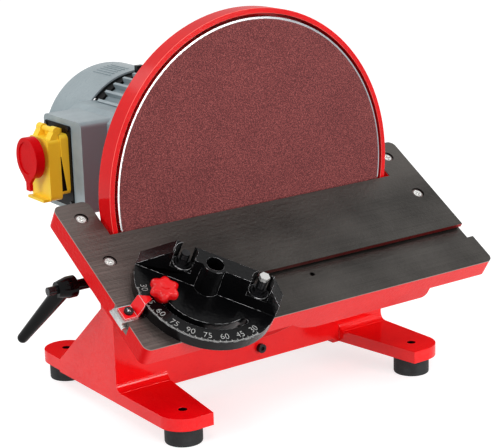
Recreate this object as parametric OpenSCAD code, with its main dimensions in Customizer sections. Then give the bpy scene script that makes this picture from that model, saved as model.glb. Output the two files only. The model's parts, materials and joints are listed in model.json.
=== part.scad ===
// Benchtop disc sander: a flange motor turns a vertical disc in front of a tilting table with a mitre gauge.
// Millimetres. X runs to the operator's right, Y to the back and Z up.
// The origin is on the bench, in the middle of the four foot holes.

/* [Disc] */
// Diameter of the sanding disc
disc_d = 305; // [280:1:310]
// Thickness of the sanding disc
disc_t = 10; // [8:0.5:12]
// Bare rim left round the abrasive sheet
bare_rim = 2; // [1:0.5:4]
// Thickness of the abrasive sheet
abrasive_t = 1; // [0.6:0.1:1.4]
// Diameter of the hub behind the disc
hub_d = 56; // [46:1:60]

/* [Housing] */
// Gap between the disc's rim and the housing's lip
rim_gap = 3.2; // [2:0.2:4]
// Wall of the housing's ring
housing_wall = 5; // [4:0.5:6]
// Depth of the housing
housing_depth = 20; // [19:0.5:24]
// Thickness of the housing's back plate
back_t = 3; // [2:0.5:4]
// Outer diameter of the dust spigot
dust_d = 58; // [48:1:62]
// Wall of the dust spigot
dust_wall = 2; // [1.5:0.5:3]
// Length of the dust spigot behind its flange
dust_l = 42; // [30:1:60]

/* [Base] */
// Height of the housing's lowest point above the bench
axis_rise = 46.8; // [44:0.2:54]
// How far the disc's face stands in front of the middle of the foot holes
disc_setback = 38; // [34:1:42]
// Thickness of the side plates
plate_t = 10; // [8:0.5:10]
// Thickness of the front wall
wall_t = 10; // [8:0.5:12]
// Thickness of the bulkhead that carries the motor
bulkhead_t = 12; // [10:0.5:14]
// Distance from the outer face of a side plate to the foot holes
foot_inset = 24; // [22:0.5:27]
// Distance between foot holes from front to back
foot_pitch_y = 210; // [206:1:214]
// Diameter of the foot holes
foot_hole_d = 8.5; // [6.5:0.5:9]
// Thickness of the foot flanges
flange_t = 12; // [10:0.5:14]
// Height of the rubber feet
rubber_h = 18; // [14:0.5:20]
// Diameter of the rubber feet
rubber_d = 35; // [32:1:40]

/* [Table] */
// How far the table reaches out past the side plates
table_over = 40; // [38:1:50]
// Depth of the table in front of the disc
table_front = 132; // [126:1:150]
// Length of the wings beside the disc
wing_l = 45; // [42:1:52]
// Depth of the table's skirt
skirt_h = 19; // [18:0.5:22]
// Thickness of the table's plate
table_t = 9; // [8:0.5:10]
// Gap between the disc's face and the table's edge
table_gap = 3; // [2.6:0.2:4]
// How far the table's top lies below the disc's axis
table_drop = 24; // [22:0.5:26]
// Tilt of the table as shown
table_tilt = 32; // [2:1:43]
// Distance from the table's edge to the middle of the mitre slot
slot_v = 89; // [87:0.5:91]
// Width of the mitre slot
slot_w = 18; // [16:0.5:20]
// Depth of the mitre slot
slot_d = 7; // [6:0.5:8]

/* [Trunnions] */
// Radius of the tilt slots round the tilt axis
arc_r = 50; // [49:0.5:52]
// Steepest tilt of the table
max_tilt = 45; // [44:0.5:46]
// Thickness of the trunnion plates
trunnion_t = 9; // [8:0.5:10]
// Diameter of the clamp studs and guide pins
stud_d = 8; // [7:0.5:9]

/* [Mitre gauge] */
// Place of the gauge's pivot along the slot, from the middle of the table
mitre_x = -117; // [-125:1:100]
// Angle of the head as shown, from square
head_angle = 45; // [-55:1:55]
// Radius of the head's scale plate
head_r = 65; // [63:0.5:67]
// Thickness of the head's scale plate
head_t = 10; // [8:0.5:11]
// Length of the fence
fence_l = 130; // [128:1:140]
// Height of the fence
fence_h = 38.5; // [36:0.5:40]
// Distance from the pivot to the fence's working face
fence_y = 11.5; // [11:0.5:12.5]
// Length of the bar to the right of the pivot
bar_right = 42; // [36:1:50]
// Diameter of the star knob
knob_d = 27; // [24:0.5:28]

/* [Lock lever] */
// Reach of the lever from its axis to its tip
lever_reach = 72; // [60:1:80]
// Length of the lever's hub
lever_hub_l = 18; // [17:0.5:22]
// Diameter of the lever's hub
lever_hub_d = 20; // [18:0.5:21]

/* [Motor] */
// Diameter of the motor frame under its fins
frame_d = 146; // [142:1:148]
// Height of the cooling fins
fin_h = 6; // [5:0.5:8]
// Number of cooling fins
fin_count = 40; // [24:4:44]
// Length of the motor frame
frame_l = 151; // [147:1:155]
// Diameter of the motor shaft
shaft_d = 19; // [17:0.5:19]
// How far the fan cowl stands out past the motor frame
cowl_over = 5.5; // [4.5:0.5:7]
// Length of the fan cowl
cowl_l = 72; // [68:1:76]

/* [Switch] */
// Distance from the motor's axis to the switch box's face
box_face = 115; // [113:0.5:120]
// Length of the switch box along the motor
box_l = 74; // [72:1:80]
// Height of the switch box
box_h = 92; // [90:1:100]
// Width of the switch flap
flap_w = 38; // [36:0.5:40]
// Height of the switch flap
flap_h = 62; // [60:0.5:64]
// Depth of the switch flap
flap_t = 13; // [11:0.5:14]
// Diameter of the stop button
stop_d = 41.5; // [38:0.5:43]

/* [Hidden] */
$fn = 96;
overrun = 1;
// Clearances: running shafts, sliding faces, bolts in their holes, pieces that pass each other, pieces
// that are seated, and the ends of curved slots
run_clear = 0.05;
slide_clear = 0.25;
bolt_clear = 0.2;
pass_clear = 0.4;
seat_clear = 0.1;
end_ease = 0.02;

// Motor flange, from the fins inward
frame_r = frame_d / 2;
shield_r = frame_r + fin_h;
flange_edge = 10;
flange_bolt_ring = shield_r - flange_edge;
spigot_in = 9;
spigot_r = flange_bolt_ring - spigot_in;

// Disc and housing
disc_r = disc_d / 2;
shaft_r = shaft_d / 2;
hub_r = hub_d / 2;
hub_l = 13;
set_screw_r = 3;
key_w = 6;
key_h = 6;
key_l = 16;
shaft_nose = 4;
lip_r = disc_r + rim_gap;
housing_r = lip_r + housing_wall;
axis_h = housing_r + axis_rise;
eye_over = 2;
housing_eye_r = spigot_r + eye_over;
housing_screw_r = 2.5;
housing_screw_out = 2;
housing_screw_ring = flange_bolt_ring + housing_screw_out;
screw_head_ratio_share = 1.8;
dust_in = 36.66;
dust_angle = 35.484;
dust_ring = housing_r - dust_in;
dust_x = dust_ring * cos(dust_angle);
dust_z = -dust_ring * sin(dust_angle);
dust_r = dust_d / 2;
dust_flange = 7;
dust_flange_t = 3;

// Base
plate_tuck = 0.7;
base_w = 2 * (housing_r - plate_tuck);
foot_pitch_x = base_w - 2 * foot_inset;
flange_bottom = rubber_h - axis_h;
flange_top = flange_bottom + flange_t;
wall_y = 7;
wall_top = -100;
saddle_clear = 1.2;
beam_drop = 2;
saddle_r = housing_r + saddle_clear;
bridge_end = 64;
bridge_half = base_w / 2 - bridge_end;
bridge_rise = 4;
bridge_z = flange_bottom + bridge_rise;
bulkhead_y = housing_depth;
bulkhead_rim = 3;
bulkhead_r = shield_r + bulkhead_rim;
bulkhead_half = 58;
neck_w = 21;
neck_z = -102;
plate_toe_y = 115;
lug_r = 9.5;
lug_waist = 1.2;
rear_beam_y = 90;
rear_beam_t = 12;
rear_beam_h = 22;
foot_r = foot_inset;
foot_fillet = 6.5;
fillet_step = 0.3;
tab_in = 2;
tab_r = foot_inset - tab_in;
foot_inner = 17;
foot_root_in = 32;
foot_hole_r = foot_hole_d / 2;
foot_neck_r = 8;
foot_neck_h = 5;
foot_xs = [-foot_pitch_x / 2, foot_pitch_x / 2];
front_foot_y = disc_setback - foot_pitch_y / 2;
rear_foot_y = disc_setback + foot_pitch_y / 2;
wall_screw_r = 2.5;
wall_screw_x = 4.5;
wall_screw_drop = 12.5;
wall_screw_l = 9;

// Tilt gear: the table turns about its own top edge, guided by two pins in each arc slot
stud_r = stud_d / 2;
stud_angle = max_tilt / 2;
guide_angle = stud_angle - 35;
stud_y = arc_r * sin(stud_angle) - table_gap;
stud_z = -table_drop - arc_r * cos(stud_angle);
guide_y = arc_r * sin(guide_angle) - table_gap;
guide_z = -table_drop - arc_r * cos(guide_angle);
slot_back_angle = stud_angle;
slot_front_angle = guide_angle - max_tilt;
trunnion_gap = 3;
trunnion_x = base_w / 2 + trunnion_gap;
trunnion_edge = 10;
trunnion_front = 56;
trunnion_back = 38;
flange_spare = 9;
trunnion_flange_t = 8;
trunnion_top = -table_t;
washer_r = 8.2;
stud_head_r = 7.5;
stud_head_t = 4.5;
washer_t = 2.6;
sleeve_r = 5;
sleeve_l = 18.15;
clamp_seat = trunnion_x + trunnion_t + washer_t + slide_clear;
sleeve_out = clamp_seat + sleeve_l;
nut_r = 7.5;
nut_t = 6.5;

// Table
table_w = base_w + 2 * table_over;
notch_clear = 3.3;
notch_half = housing_r + notch_clear;
table_corner = 7;
skirt_t = 6;
trunnion_flange_w = table_over - skirt_t - flange_spare;
notch_land = 1.5;
slot_lip = 4.2;
slot_step = 2.6;
slot_rib = 17;
table_screw_in = 20;
table_screw_back = 25.5;
table_screw_front = 29;
table_screw_u = table_w / 2 - table_screw_in;
table_screw_vs = [-table_screw_back, table_screw_front];
table_screw_r = 3;
table_head_r = 5.9;
table_head_t = 3;
table_sink_r = 6.4;
table_sink_d = 4.2;
table_screw_l = 12;
cross_l = 7;
cross_w = 1.5;
cross_d = 1.5;
rib_setback = 4;
rib_t = 6;
rib_drop = 17.5;
rib_in = 68;
rib_left = -41;
rib_right = table_w / 2 - rib_in;
rib_corner = 6;
rib_sweep = 60;
floor_hole_r = 2.2;
floor_hole_u = 6;
floor_hole_front = 2;

// Mitre gauge
bar_w = slot_w - 2 * slide_clear;
bar_sink = 0.2;
bar_t = slot_d - 2 * bar_sink;
bar_foot_t = bar_t - slot_lip - slide_clear;
pointer_w = 13.5;
pointer_l = 14;
pointer_t = 1.6;
pointer_inset = 3.5;
pointer_gap = 5.5;
bar_left = head_r + pointer_gap + pointer_l + pointer_inset;
pointer_rise = 12.6;
pointer_run = 4.6;
pointer_tip_l = 7.5;
pointer_tip_w = 3;
pointer_screw_r = 2;
pointer_head_r = 4.2;
pointer_head_t = 2.6;
head_lift = 0.3;
pivot_r = 4;
pivot_boss_r = 11;
pivot_root_r = 12.2;
pivot_head_r = 7;
pivot_head_t = 4;
pivot_sink_r = 8;
pivot_seat = 12;
scale_edge = 18;
scale_slot_r = head_r - scale_edge;
scale_slot_w = 6.6;
scale_half = 60;
knob_stud_r = 3;
knob_lift = 5.5;
knob_t = 10;
knob_boss_r = 7;
knob_lobes = 6;
lobe_ring_share = 0.62;
lobe_share = 0.38;
fence_t = 16.5;
left_cut_l = 27;
left_cut_h = 28;
right_cut_l = 13;
right_cut_h = 15.5;
post_left = 27;
post_right = 43.5;
post_xs = [-post_left, post_right];
post_y = 3.2;
post_seat = 22;
post_pocket_r = 10;
post_mouth_w = 19;
post_washer_r = 9;
post_washer_t = 1.6;
post_r = 4;
post_nut_r = 6;
post_nut_t = 5;
post_left_top = 36;
post_right_top = 43;
post_tops = [post_left_top, post_right_top];
post_hex_r = 4.8;
post_hex_h = 4;
post_flange_r = 7.5;
post_flange_t = 1.5;

// Lock lever
hub_straight_share = 0.4;
hub_nose_share = 0.72;
lever_tilt = 18;
lever_turn = 52;
lever_root_d = 16;
lever_tip_d = 10;
bush_short = 4;
stud_proud = 9;
lever_bore_r = sleeve_r + run_clear;

// Motor, in order from the bulkhead to the back
shield_y = bulkhead_y + bulkhead_t;
shield_t = 10;
shield_spigot_l = 6;
eye_clear = 4.5;
bearing_r = 23.5;
bearing_t = 14;
bearing_boss_r = 31;
flange_bolt_r = 4;
flange_bolt_head_r = 6.5;
flange_bolt_head_t = 5;
frame_y = shield_y + shield_t;
frame_wall = 12;
frame_bore = frame_r - frame_wall;
fin_t = 3;
fin_root = 2;
pad_half = 50;
pad_l = 88;
rear_shield_y = frame_y + frame_l;
rear_shield_t = 11.5;
rear_shield_lip = 2.5;
rear_shield_r = frame_r + rear_shield_lip;
rear_bearing_r = 20;
rear_bearing_t = 12;
rear_boss_r = 27;
rear_shaft_r = 8.5;
stator_inset = 33;
stator_y = frame_y + stator_inset;
stator_l = 75;
stator_t = 24.5;
stator_in_r = frame_bore - stator_t;
air_gap = 0.5;
winding_l = 13;
winding_step = 2.5;
winding_in_r = stator_in_r + winding_step;
winding_gap = 5;
winding_out_r = frame_bore - winding_gap;
cowl_r = frame_r + cowl_over;
cowl_wall = 1.8;
fan_gap = 2;
fan_hub_r = 14;
fan_hub_l = 16;
fan_plate_t = 2;
fan_clear = 12.7;
fan_r = cowl_r - cowl_wall - fan_clear;
fan_rim = 1.5;
fan_blades = 8;
fan_blade_t = 2.5;
cowl_y = rear_shield_y + rear_shield_t;
cowl_round = 9;
lug_l = 8;
fan_y = cowl_y + lug_l + fan_gap;
lug_w = 16;
lug_in = 12;
lug_angles = [60, 120, 300];
cowl_screw_r = 2;
cowl_screw_head_r = 4;
cowl_screw_head_t = 2.2;
cowl_screw_l = 8;
grille_slots = 9;
grille_w = 4;
grille_pitch = 9.5;
grille_edge = 22.5;
grille_r = cowl_r - grille_edge;
louvre_count = 6;
louvre_pitch = 3.2;
louvre_l = 34;
louvre_h = 0.6;
louvre_w = 1.2;
louvre_start = 12;
louvre_turn = 9.5;
plug_w = 8;
plug_l = 6;
plug_h = 5;

// Switch box, measured from the motor's axis; its face looks to the left
box_back = 70;
box_wall = 2.5;
box_set = 67;
box_front_y = rear_shield_y - box_set;
box_top = 50;
box_round = 6;
box_y = box_front_y + box_l / 2;
box_z = box_top - box_h / 2;
collar_l = pad_l - 2 * slide_clear;
collar_h = 2 * (pad_half - slide_clear);
collar_top_x = 72;
collar_out = 86;
collar_slope = 8;
collar_in = 50;
panel_t = 1.5;
panel_l = 50;
panel_h = 81;
panel_shift = 8;
panel_y = box_y + panel_shift;
panel_z = 3.5;
panel_screw_r = 1.5;
panel_head_r = 2.3;
panel_head_t = 1.4;
panel_inset = 3.4;
panel_corner = 2.5;
switch_t = 8.3;
switch_l = 40;
switch_h = 60;
switch_shift = 7;
switch_y = box_y + switch_shift;
switch_z = 6;
switch_round = 5;
switch_body_l = 34;
switch_body_h = 48;
switch_body_t = 20;
side_cut_top = 14;
side_cut_low = 20;
side_cut_w = 4.5;
side_cut_in = 3;
hinge_drop = 2.2;
hinge_rise = 4;
hinge_r = 4;
middle_r = 2.8;
hinge_pin_r = 1.4;
knuckle_l = 9;
knuckle_inset = 2.8;
flap_wall = 2;
flap_gap = 0.5;
flap_round = 5;
flap_top = 33;
arm_in = 3;
tab_l = 32;
tab_t = 2.5;
tab_out = 7;
stop_t = 9.5;
stop_dish_r = 16;
stop_dish_d = 1.2;
stop_stand = 5;
stop_stem_r = 8;
stop_stem_in = 4;
stop_z = 14;
tail_w = 8;
tail_t = 3.5;
tail_hold_share = 0.96;
tail_neck = 24.5;
tail_drop = 32.5;
tail_angle = 42;
stop_catch_t = 1.5;
button_r = 7;
button_out = 4;
button_in = 5;
button_flange_r = 8.5;
button_flange_t = 1;
start_z = -11;
button_zs = [start_z, stop_z];
capacitor_r = 9;
capacitor_h = 66;
capacitor_y = box_front_y + box_round + capacitor_r;
gland_r = 8;
gland_l = 14;
gland_nut_r = 10;
gland_nut_l = 5;
gland_bore_r = 3.6;
gland_shift = 3;
gland_in = 11.5;
gland_y = box_y - gland_shift;
gland_x = box_face - gland_in;

red = "crimson";
grey = "lightslategray";
black = "#1c1c1e";
zinc = "silver";
steel = "gainsboro";

// The disc's frame: y is the distance behind its face and z the height over its axis
module machine() {
  translate([0, -disc_setback, axis_h]) children();
}

// Turns a piece drawn along z so that it runs to the back
module along_y() {
  rotate([-90, 0, 0]) children();
}

// Turns a piece drawn along z so that it runs to the right
module along_x() {
  rotate([0, 90, 0]) children();
}

// Raises a drawing of x and z into a wall from y to y + t
module wall(y, t) {
  translate([0, y + t, 0]) rotate([90, 0, 0]) linear_extrude(t) children();
}

// Raises a drawing of y and z into a plate from x to x + t
module side(x, t) {
  translate([x, 0, 0]) rotate([90, 0, 90]) linear_extrude(t) children();
}

// The table's frame: x across, -y to the front and z out of the top, with the tilt axis at the origin
module on_table() {
  machine() translate([0, -table_gap, -table_drop]) rotate([table_tilt, 0, 0]) children();
}

// The mitre bar's frame, with the pivot at the origin
module on_bar() {
  on_table() translate([mitre_x, -slot_v, 0]) children();
}

// The mitre head's frame: x along the fence and y towards the work
module on_head() {
  on_bar() rotate([0, 0, head_angle - 90]) children();
}

// The lever's frame: z runs out to the left along the clamp stud
module on_stud() {
  machine() translate([0, stud_y, stud_z]) rotate([0, -90, 0]) children();
}

module both_sides() {
  children();
  mirror([1, 0, 0]) children();
}

module tube(r_out, r_in, h) {
  difference() {
    cylinder(r = r_out, h = h);
    translate([0, 0, -overrun]) cylinder(r = r_in, h = h + 2 * overrun);
  }
}

module rounded_rect(w, h, r) {
  square([w - 2 * r, h], center = true);
  square([w, h - 2 * r], center = true);
  for (x = [r - w / 2, w / 2 - r], y = [r - h / 2, h / 2 - r]) translate([x, y]) circle(r);
}

// A curved slot of width w round the origin, from angle a to angle b, less than half a turn
module arc_slot(r, w, a, b) {
  far = 2 * (r + w);
  mid = (a + b) / 2;
  intersection() {
    difference() {
      circle(r + w / 2);
      circle(r - w / 2);
    }
    polygon([[0, 0], far * [cos(a), sin(a)], far * [cos(mid), sin(mid)], far * [cos(b), sin(b)]]);
  }
  for (e = [a, b]) translate(r * [cos(e), sin(e)]) circle(w / 2 - end_ease);
}

module bolt(r, l, head_r, head_t) {
  cylinder(r = r, h = l);
  translate([0, 0, l]) cylinder(r = head_r, h = head_t);
}

// A bolt with a hexagon head
module hex_bolt(r, l, head_r, head_t) {
  cylinder(r = r, h = l);
  translate([0, 0, l]) cylinder(r = head_r, h = head_t, $fn = 6);
}

// Base: side plates, front wall, bulkhead and four foot flanges in one casting
module lug_pad() {
  translate([-table_gap, -table_drop]) {
    arc_slot(arc_r, 2 * (lug_r - lug_waist), guide_angle - 90, stud_angle - 90);
    for (a = [guide_angle, stud_angle]) translate(arc_r * [sin(a), -cos(a)]) circle(lug_r);
  }
}

module plate_outline() {
  polygon([[wall_y, flange_bottom], [wall_y, stud_z], [wall_y + neck_w, stud_z],
    [wall_y + neck_w, neck_z], [plate_toe_y, flange_top], [plate_toe_y, flange_bottom]]);
  lug_pad();
}

module front_foot() {
  root = wall_y - front_foot_y;
  polygon([[-foot_root_in, root], [foot_r, root], [foot_r, 0], [0, 0], [0, -foot_r],
    [-foot_inner, -foot_r]]);
  intersection() {
    circle(foot_r);
    translate([0, -foot_r]) square(foot_r);
  }
}

// A hollow round where a front foot meets the wall, drawn from the foot of the wall
module foot_root_round() {
  difference() {
    translate([-foot_fillet, -overrun]) square([foot_fillet + overrun, foot_fillet + overrun]);
    translate([-foot_fillet, foot_fillet]) circle(foot_fillet - fillet_step);
  }
}

module rear_foot() {
  circle(tab_r);
  translate([-tab_r, rear_beam_y - rear_foot_y]) square([2 * tab_r, rear_foot_y - rear_beam_y]);
}

module front_wall_outline() {
  difference() {
    translate([-base_w / 2, flange_bottom]) square([base_w, wall_top - flange_bottom]);
    translate([-bridge_half, flange_bottom - overrun]) square([2 * bridge_half, bridge_rise + overrun]);
    circle(saddle_r);
  }
}

module base_casting() {
  color(red) machine() difference() {
    union() {
      both_sides() side(base_w / 2 - plate_t, plate_t) plate_outline();
      wall(wall_y, wall_t) front_wall_outline();
      translate([-base_w / 2 + plate_t, wall_y, bridge_z])
        cube([base_w - 2 * plate_t, bulkhead_y + bulkhead_t - wall_y, -saddle_r - beam_drop - bridge_z]);
      wall(bulkhead_y, bulkhead_t) {
        circle(bulkhead_r);
        translate([-bulkhead_half, bridge_z]) square([2 * bulkhead_half, -bridge_z]);
      }
      translate([-base_w / 2 + plate_t, rear_beam_y, bridge_z])
        cube([base_w - 2 * plate_t, rear_beam_t, rear_beam_h]);
      both_sides() translate([foot_pitch_x / 2, 0, flange_bottom]) {
        translate([0, front_foot_y, 0]) linear_extrude(flange_t) front_foot();
        translate([0, rear_foot_y, 0]) linear_extrude(flange_t) rear_foot();
        translate([0, wall_y, flange_t]) side(-foot_root_in, foot_root_in + foot_r) foot_root_round();
      }
    }
    for (x = foot_xs, y = [front_foot_y, rear_foot_y]) translate([x, y, flange_bottom - overrun]) {
      cylinder(r = foot_hole_r, h = flange_t + 2 * overrun);
      cylinder(r = foot_neck_r + seat_clear, h = foot_neck_h + overrun);
    }
    translate([0, bulkhead_y - overrun, 0]) along_y() {
      cylinder(r = spigot_r + seat_clear, h = bulkhead_t + 2 * overrun);
      for (a = [0:90:270]) rotate(a) {
        translate([flange_bolt_ring, 0, 0])
          cylinder(r = flange_bolt_r + run_clear, h = bulkhead_t + 2 * overrun);
        rotate(45) translate([housing_screw_ring, 0, 0])
          cylinder(r = housing_screw_r + run_clear, h = bulkhead_t + 2 * overrun);
      }
    }
    translate([dust_x, bulkhead_y, dust_z]) along_y()
      cylinder(r = dust_r + dust_flange + pass_clear, h = bulkhead_t + overrun);
    both_sides() translate([base_w / 2 - plate_t - overrun, 0, 0]) {
      for (c = [[stud_y, stud_z], [guide_y, guide_z]]) translate([0, c[0], c[1]]) along_x()
        cylinder(r = stud_r + run_clear, h = plate_t + 2 * overrun);
      translate([0, stud_y, stud_z]) along_x()
        cylinder(r = stud_head_r + bolt_clear, h = stud_head_t + seat_clear + overrun);
    }
    translate([wall_screw_x, wall_y - overrun, bridge_z + wall_screw_drop]) along_y()
      cylinder(r = wall_screw_r + run_clear, h = wall_screw_l + overrun);
  }
}

module rubber_feet() {
  color(black) for (x = foot_xs, y = [-foot_pitch_y / 2, foot_pitch_y / 2])
    translate([x, y, 0]) difference() {
    union() {
      cylinder(r = rubber_d / 2, h = rubber_h);
      cylinder(r = foot_neck_r, h = rubber_h + foot_neck_h - seat_clear);
    }
    translate([0, 0, -overrun]) cylinder(r = foot_hole_r, h = rubber_h + foot_neck_h + 2 * overrun);
  }
}

module wall_screw() {
  head_r = wall_screw_r * screw_head_ratio_share;
  color(black) machine() translate([wall_screw_x, wall_y + wall_screw_l, bridge_z + wall_screw_drop])
    rotate([90, 0, 0]) difference() {
      bolt(wall_screw_r, wall_screw_l, head_r, head_r);
      translate([0, 0, wall_screw_l + head_r / 2]) cylinder(r = head_r / 2, h = head_r, $fn = 6);
    }
}

// Disc housing: a shallow dish round the disc, open to the front
module disc_housing() {
  color(red) machine() difference() {
    along_y() cylinder(r = housing_r, h = housing_depth, $fn = 180);
    translate([0, -overrun, 0]) along_y()
      cylinder(r = lip_r, h = housing_depth - back_t + overrun, $fn = 180);
    along_y() cylinder(r = housing_eye_r, h = housing_depth + overrun);
    translate([dust_x, 0, dust_z]) along_y()
      cylinder(r = dust_r - dust_wall, h = housing_depth + overrun);
    along_y() for (a = [45:90:315]) rotate(a) translate([housing_screw_ring, 0, 0])
      cylinder(r = housing_screw_r + run_clear, h = housing_depth + overrun);
  }
}

module housing_screws() {
  color(zinc) machine() translate([0, housing_depth + bulkhead_t - overrun, 0]) rotate([90, 0, 0])
    for (a = [45:90:315]) rotate(a) translate([housing_screw_ring, 0, 0])
      bolt(housing_screw_r, bulkhead_t - overrun + back_t, housing_screw_r * screw_head_ratio_share,
        housing_screw_r);
}

module dust_port() {
  color(black) machine() translate([dust_x, housing_depth, dust_z]) along_y() {
    tube(dust_r + dust_flange, dust_r - dust_wall, dust_flange_t);
    tube(dust_r, dust_r - dust_wall, dust_flange_t + dust_l);
  }
}

// Turning parts: disc, abrasive, shaft, rotor and fan
module sanding_disc() {
  color(zinc) machine() difference() {
    along_y() {
      cylinder(r = disc_r, h = disc_t, $fn = 180);
      cylinder(r = hub_r, h = disc_t + hub_l);
    }
    translate([0, shaft_nose, 0]) along_y() cylinder(r = shaft_r + run_clear, h = disc_t + hub_l);
    translate([0, disc_t + hub_l / 2, 0]) cylinder(r = set_screw_r + run_clear, h = hub_r + overrun);
    translate([-key_w / 2 - run_clear, shaft_nose, -shaft_r - key_h / 2 - run_clear])
      cube([key_w + 2 * run_clear, disc_t + hub_l, key_h]);
  }
}

module abrasive_sheet() {
  color("#7f3e42") machine() translate([0, -abrasive_t, 0]) along_y()
    cylinder(r = disc_r - bare_rim, h = abrasive_t, $fn = 180);
}

module disc_set_screw() {
  color(black) machine() translate([0, disc_t + hub_l / 2, shaft_r + run_clear]) difference() {
    cylinder(r = set_screw_r, h = hub_r - shaft_r - set_screw_r);
    translate([0, 0, set_screw_r]) cylinder(r = set_screw_r / 2, h = hub_r, $fn = 6);
  }
}

module shaft_key() {
  color(steel) machine() translate([-key_w / 2, shaft_nose + run_clear, -shaft_r - key_h / 2])
    cube([key_w, key_l, key_h - run_clear]);
}

module motor_shaft() {
  rear_y = rear_shield_y - rear_bearing_t / 2;
  color(steel) machine() difference() {
    union() {
      translate([0, shaft_nose, 0]) along_y() cylinder(r = shaft_r, h = rear_y - shaft_nose);
      translate([0, rear_y, 0]) along_y() cylinder(r = rear_shaft_r, h = fan_y + fan_hub_l - rear_y);
    }
    translate([-key_w / 2 - run_clear, shaft_nose - overrun, -shaft_r - key_h / 2])
      cube([key_w + 2 * run_clear, key_l + 2 * overrun, key_h]);
  }
}

module rotor_core() {
  color(zinc) machine() translate([0, stator_y, 0]) along_y()
    tube(stator_in_r - air_gap, shaft_r + run_clear, stator_l);
}

module cooling_fan() {
  color(black) machine() translate([0, fan_y, 0]) along_y() difference() {
    union() {
      cylinder(r = fan_hub_r, h = fan_hub_l);
      cylinder(r = fan_r, h = fan_plate_t);
      for (i = [0:fan_blades - 1]) rotate(i * 360 / fan_blades)
        translate([fan_hub_r - fan_rim, -fan_blade_t / 2, 0])
        cube([fan_r - fan_hub_r, fan_blade_t, fan_hub_l - fan_rim]);
    }
    translate([0, 0, -overrun]) cylinder(r = rear_shaft_r + run_clear, h = fan_hub_l + 2 * overrun);
  }
}

// Motor: end shields, finned frame, stator, bearings and cowl
module front_end_shield() {
  color(grey) machine() translate([0, shield_y, 0]) along_y() difference() {
    union() {
      cylinder(r = shield_r, h = shield_t);
      translate([0, 0, -shield_spigot_l]) cylinder(r = spigot_r, h = shield_spigot_l);
      cylinder(r = bearing_boss_r, h = shield_t + bearing_t / 2);
    }
    translate([0, 0, -shield_spigot_l - overrun])
      cylinder(r = shaft_r + eye_clear, h = shield_t + bearing_t + shield_spigot_l + overrun);
    translate([0, 0, shield_t - bearing_t / 2])
      cylinder(r = bearing_r + run_clear, h = bearing_t + overrun);
    for (a = [0:90:270]) rotate(a) translate([flange_bolt_ring, 0, -overrun])
      cylinder(r = flange_bolt_r + run_clear, h = shield_t + 2 * overrun);
  }
}

module motor_frame() {
  color(grey) machine() translate([0, frame_y, 0]) difference() {
    union() {
      along_y() tube(frame_r, frame_bore, frame_l);
      difference() {
        along_y() for (i = [0:fin_count - 1]) rotate(i * 360 / fin_count)
          translate([frame_r - fin_root, -fin_t / 2, 0])
            cube([fin_h + fin_root, fin_t, frame_l]);
        translate([-shield_r - overrun, box_y - pad_l / 2 - frame_y, box_z - pad_half])
          cube([shield_r + overrun - collar_in, pad_l, 2 * pad_half]);
      }
    }
    along_y() for (a = [0:90:270]) rotate(a) translate([flange_bolt_ring, 0, -overrun])
      cylinder(r = flange_bolt_head_r + pass_clear, h = flange_bolt_head_t + pass_clear + overrun);
  }
}

module rear_end_shield() {
  color("dimgray") machine() translate([0, rear_shield_y, 0]) along_y() difference() {
    union() {
      cylinder(r = rear_shield_r, h = rear_shield_t);
      translate([0, 0, -rear_bearing_t / 2]) cylinder(r = rear_boss_r, h = rear_bearing_t / 2);
      intersection() {
        cylinder(r = cowl_r - cowl_wall - seat_clear, h = rear_shield_t + lug_l);
        for (a = lug_angles) rotate(a) translate([rear_shield_r - lug_in, -lug_w / 2, 0])
          cube([cowl_r, lug_w, rear_shield_t + lug_l]);
      }
    }
    translate([0, 0, -rear_bearing_t / 2 - overrun])
      cylinder(r = rear_bearing_r + run_clear, h = rear_bearing_t + overrun);
    cylinder(r = rear_shaft_r + pass_clear, h = rear_shield_t + overrun);
    for (a = lug_angles) rotate(a) translate([cowl_r + overrun, 0, rear_shield_t + lug_l / 2])
      rotate([0, -90, 0])
      cylinder(r = cowl_screw_r + run_clear, h = cowl_screw_l + cowl_wall + overrun);
  }
}

module stator_core() {
  color(zinc) machine() translate([0, stator_y, 0]) along_y()
    tube(frame_bore - seat_clear, stator_in_r, stator_l);
}

module stator_windings() {
  color("#b4622d") machine() for (y = [stator_y - winding_l, stator_y + stator_l])
    translate([0, y, 0]) along_y()
    tube(winding_out_r, winding_in_r, winding_l);
}

module front_bearing() {
  color(steel) machine() translate([0, shield_y + shield_t - bearing_t / 2, 0]) along_y()
    tube(bearing_r, shaft_r + run_clear, bearing_t);
}

module rear_bearing() {
  color(steel) machine() translate([0, rear_shield_y - rear_bearing_t / 2, 0]) along_y()
    tube(rear_bearing_r, rear_shaft_r + run_clear, rear_bearing_t);
}

module flange_bolts() {
  color(zinc) machine() translate([0, bulkhead_y + overrun, 0]) along_y() for (a = [0:90:270]) rotate(a)
    translate([flange_bolt_ring, 0, 0])
      hex_bolt(flange_bolt_r, bulkhead_t + shield_t - overrun, flange_bolt_head_r, flange_bolt_head_t);
}

module cowl_shell(r, l, corner) {
  rotate_extrude() {
    square([r, l - corner]);
    square([r - corner, l]);
    translate([r - corner, l - corner]) circle(corner);
  }
}

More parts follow.
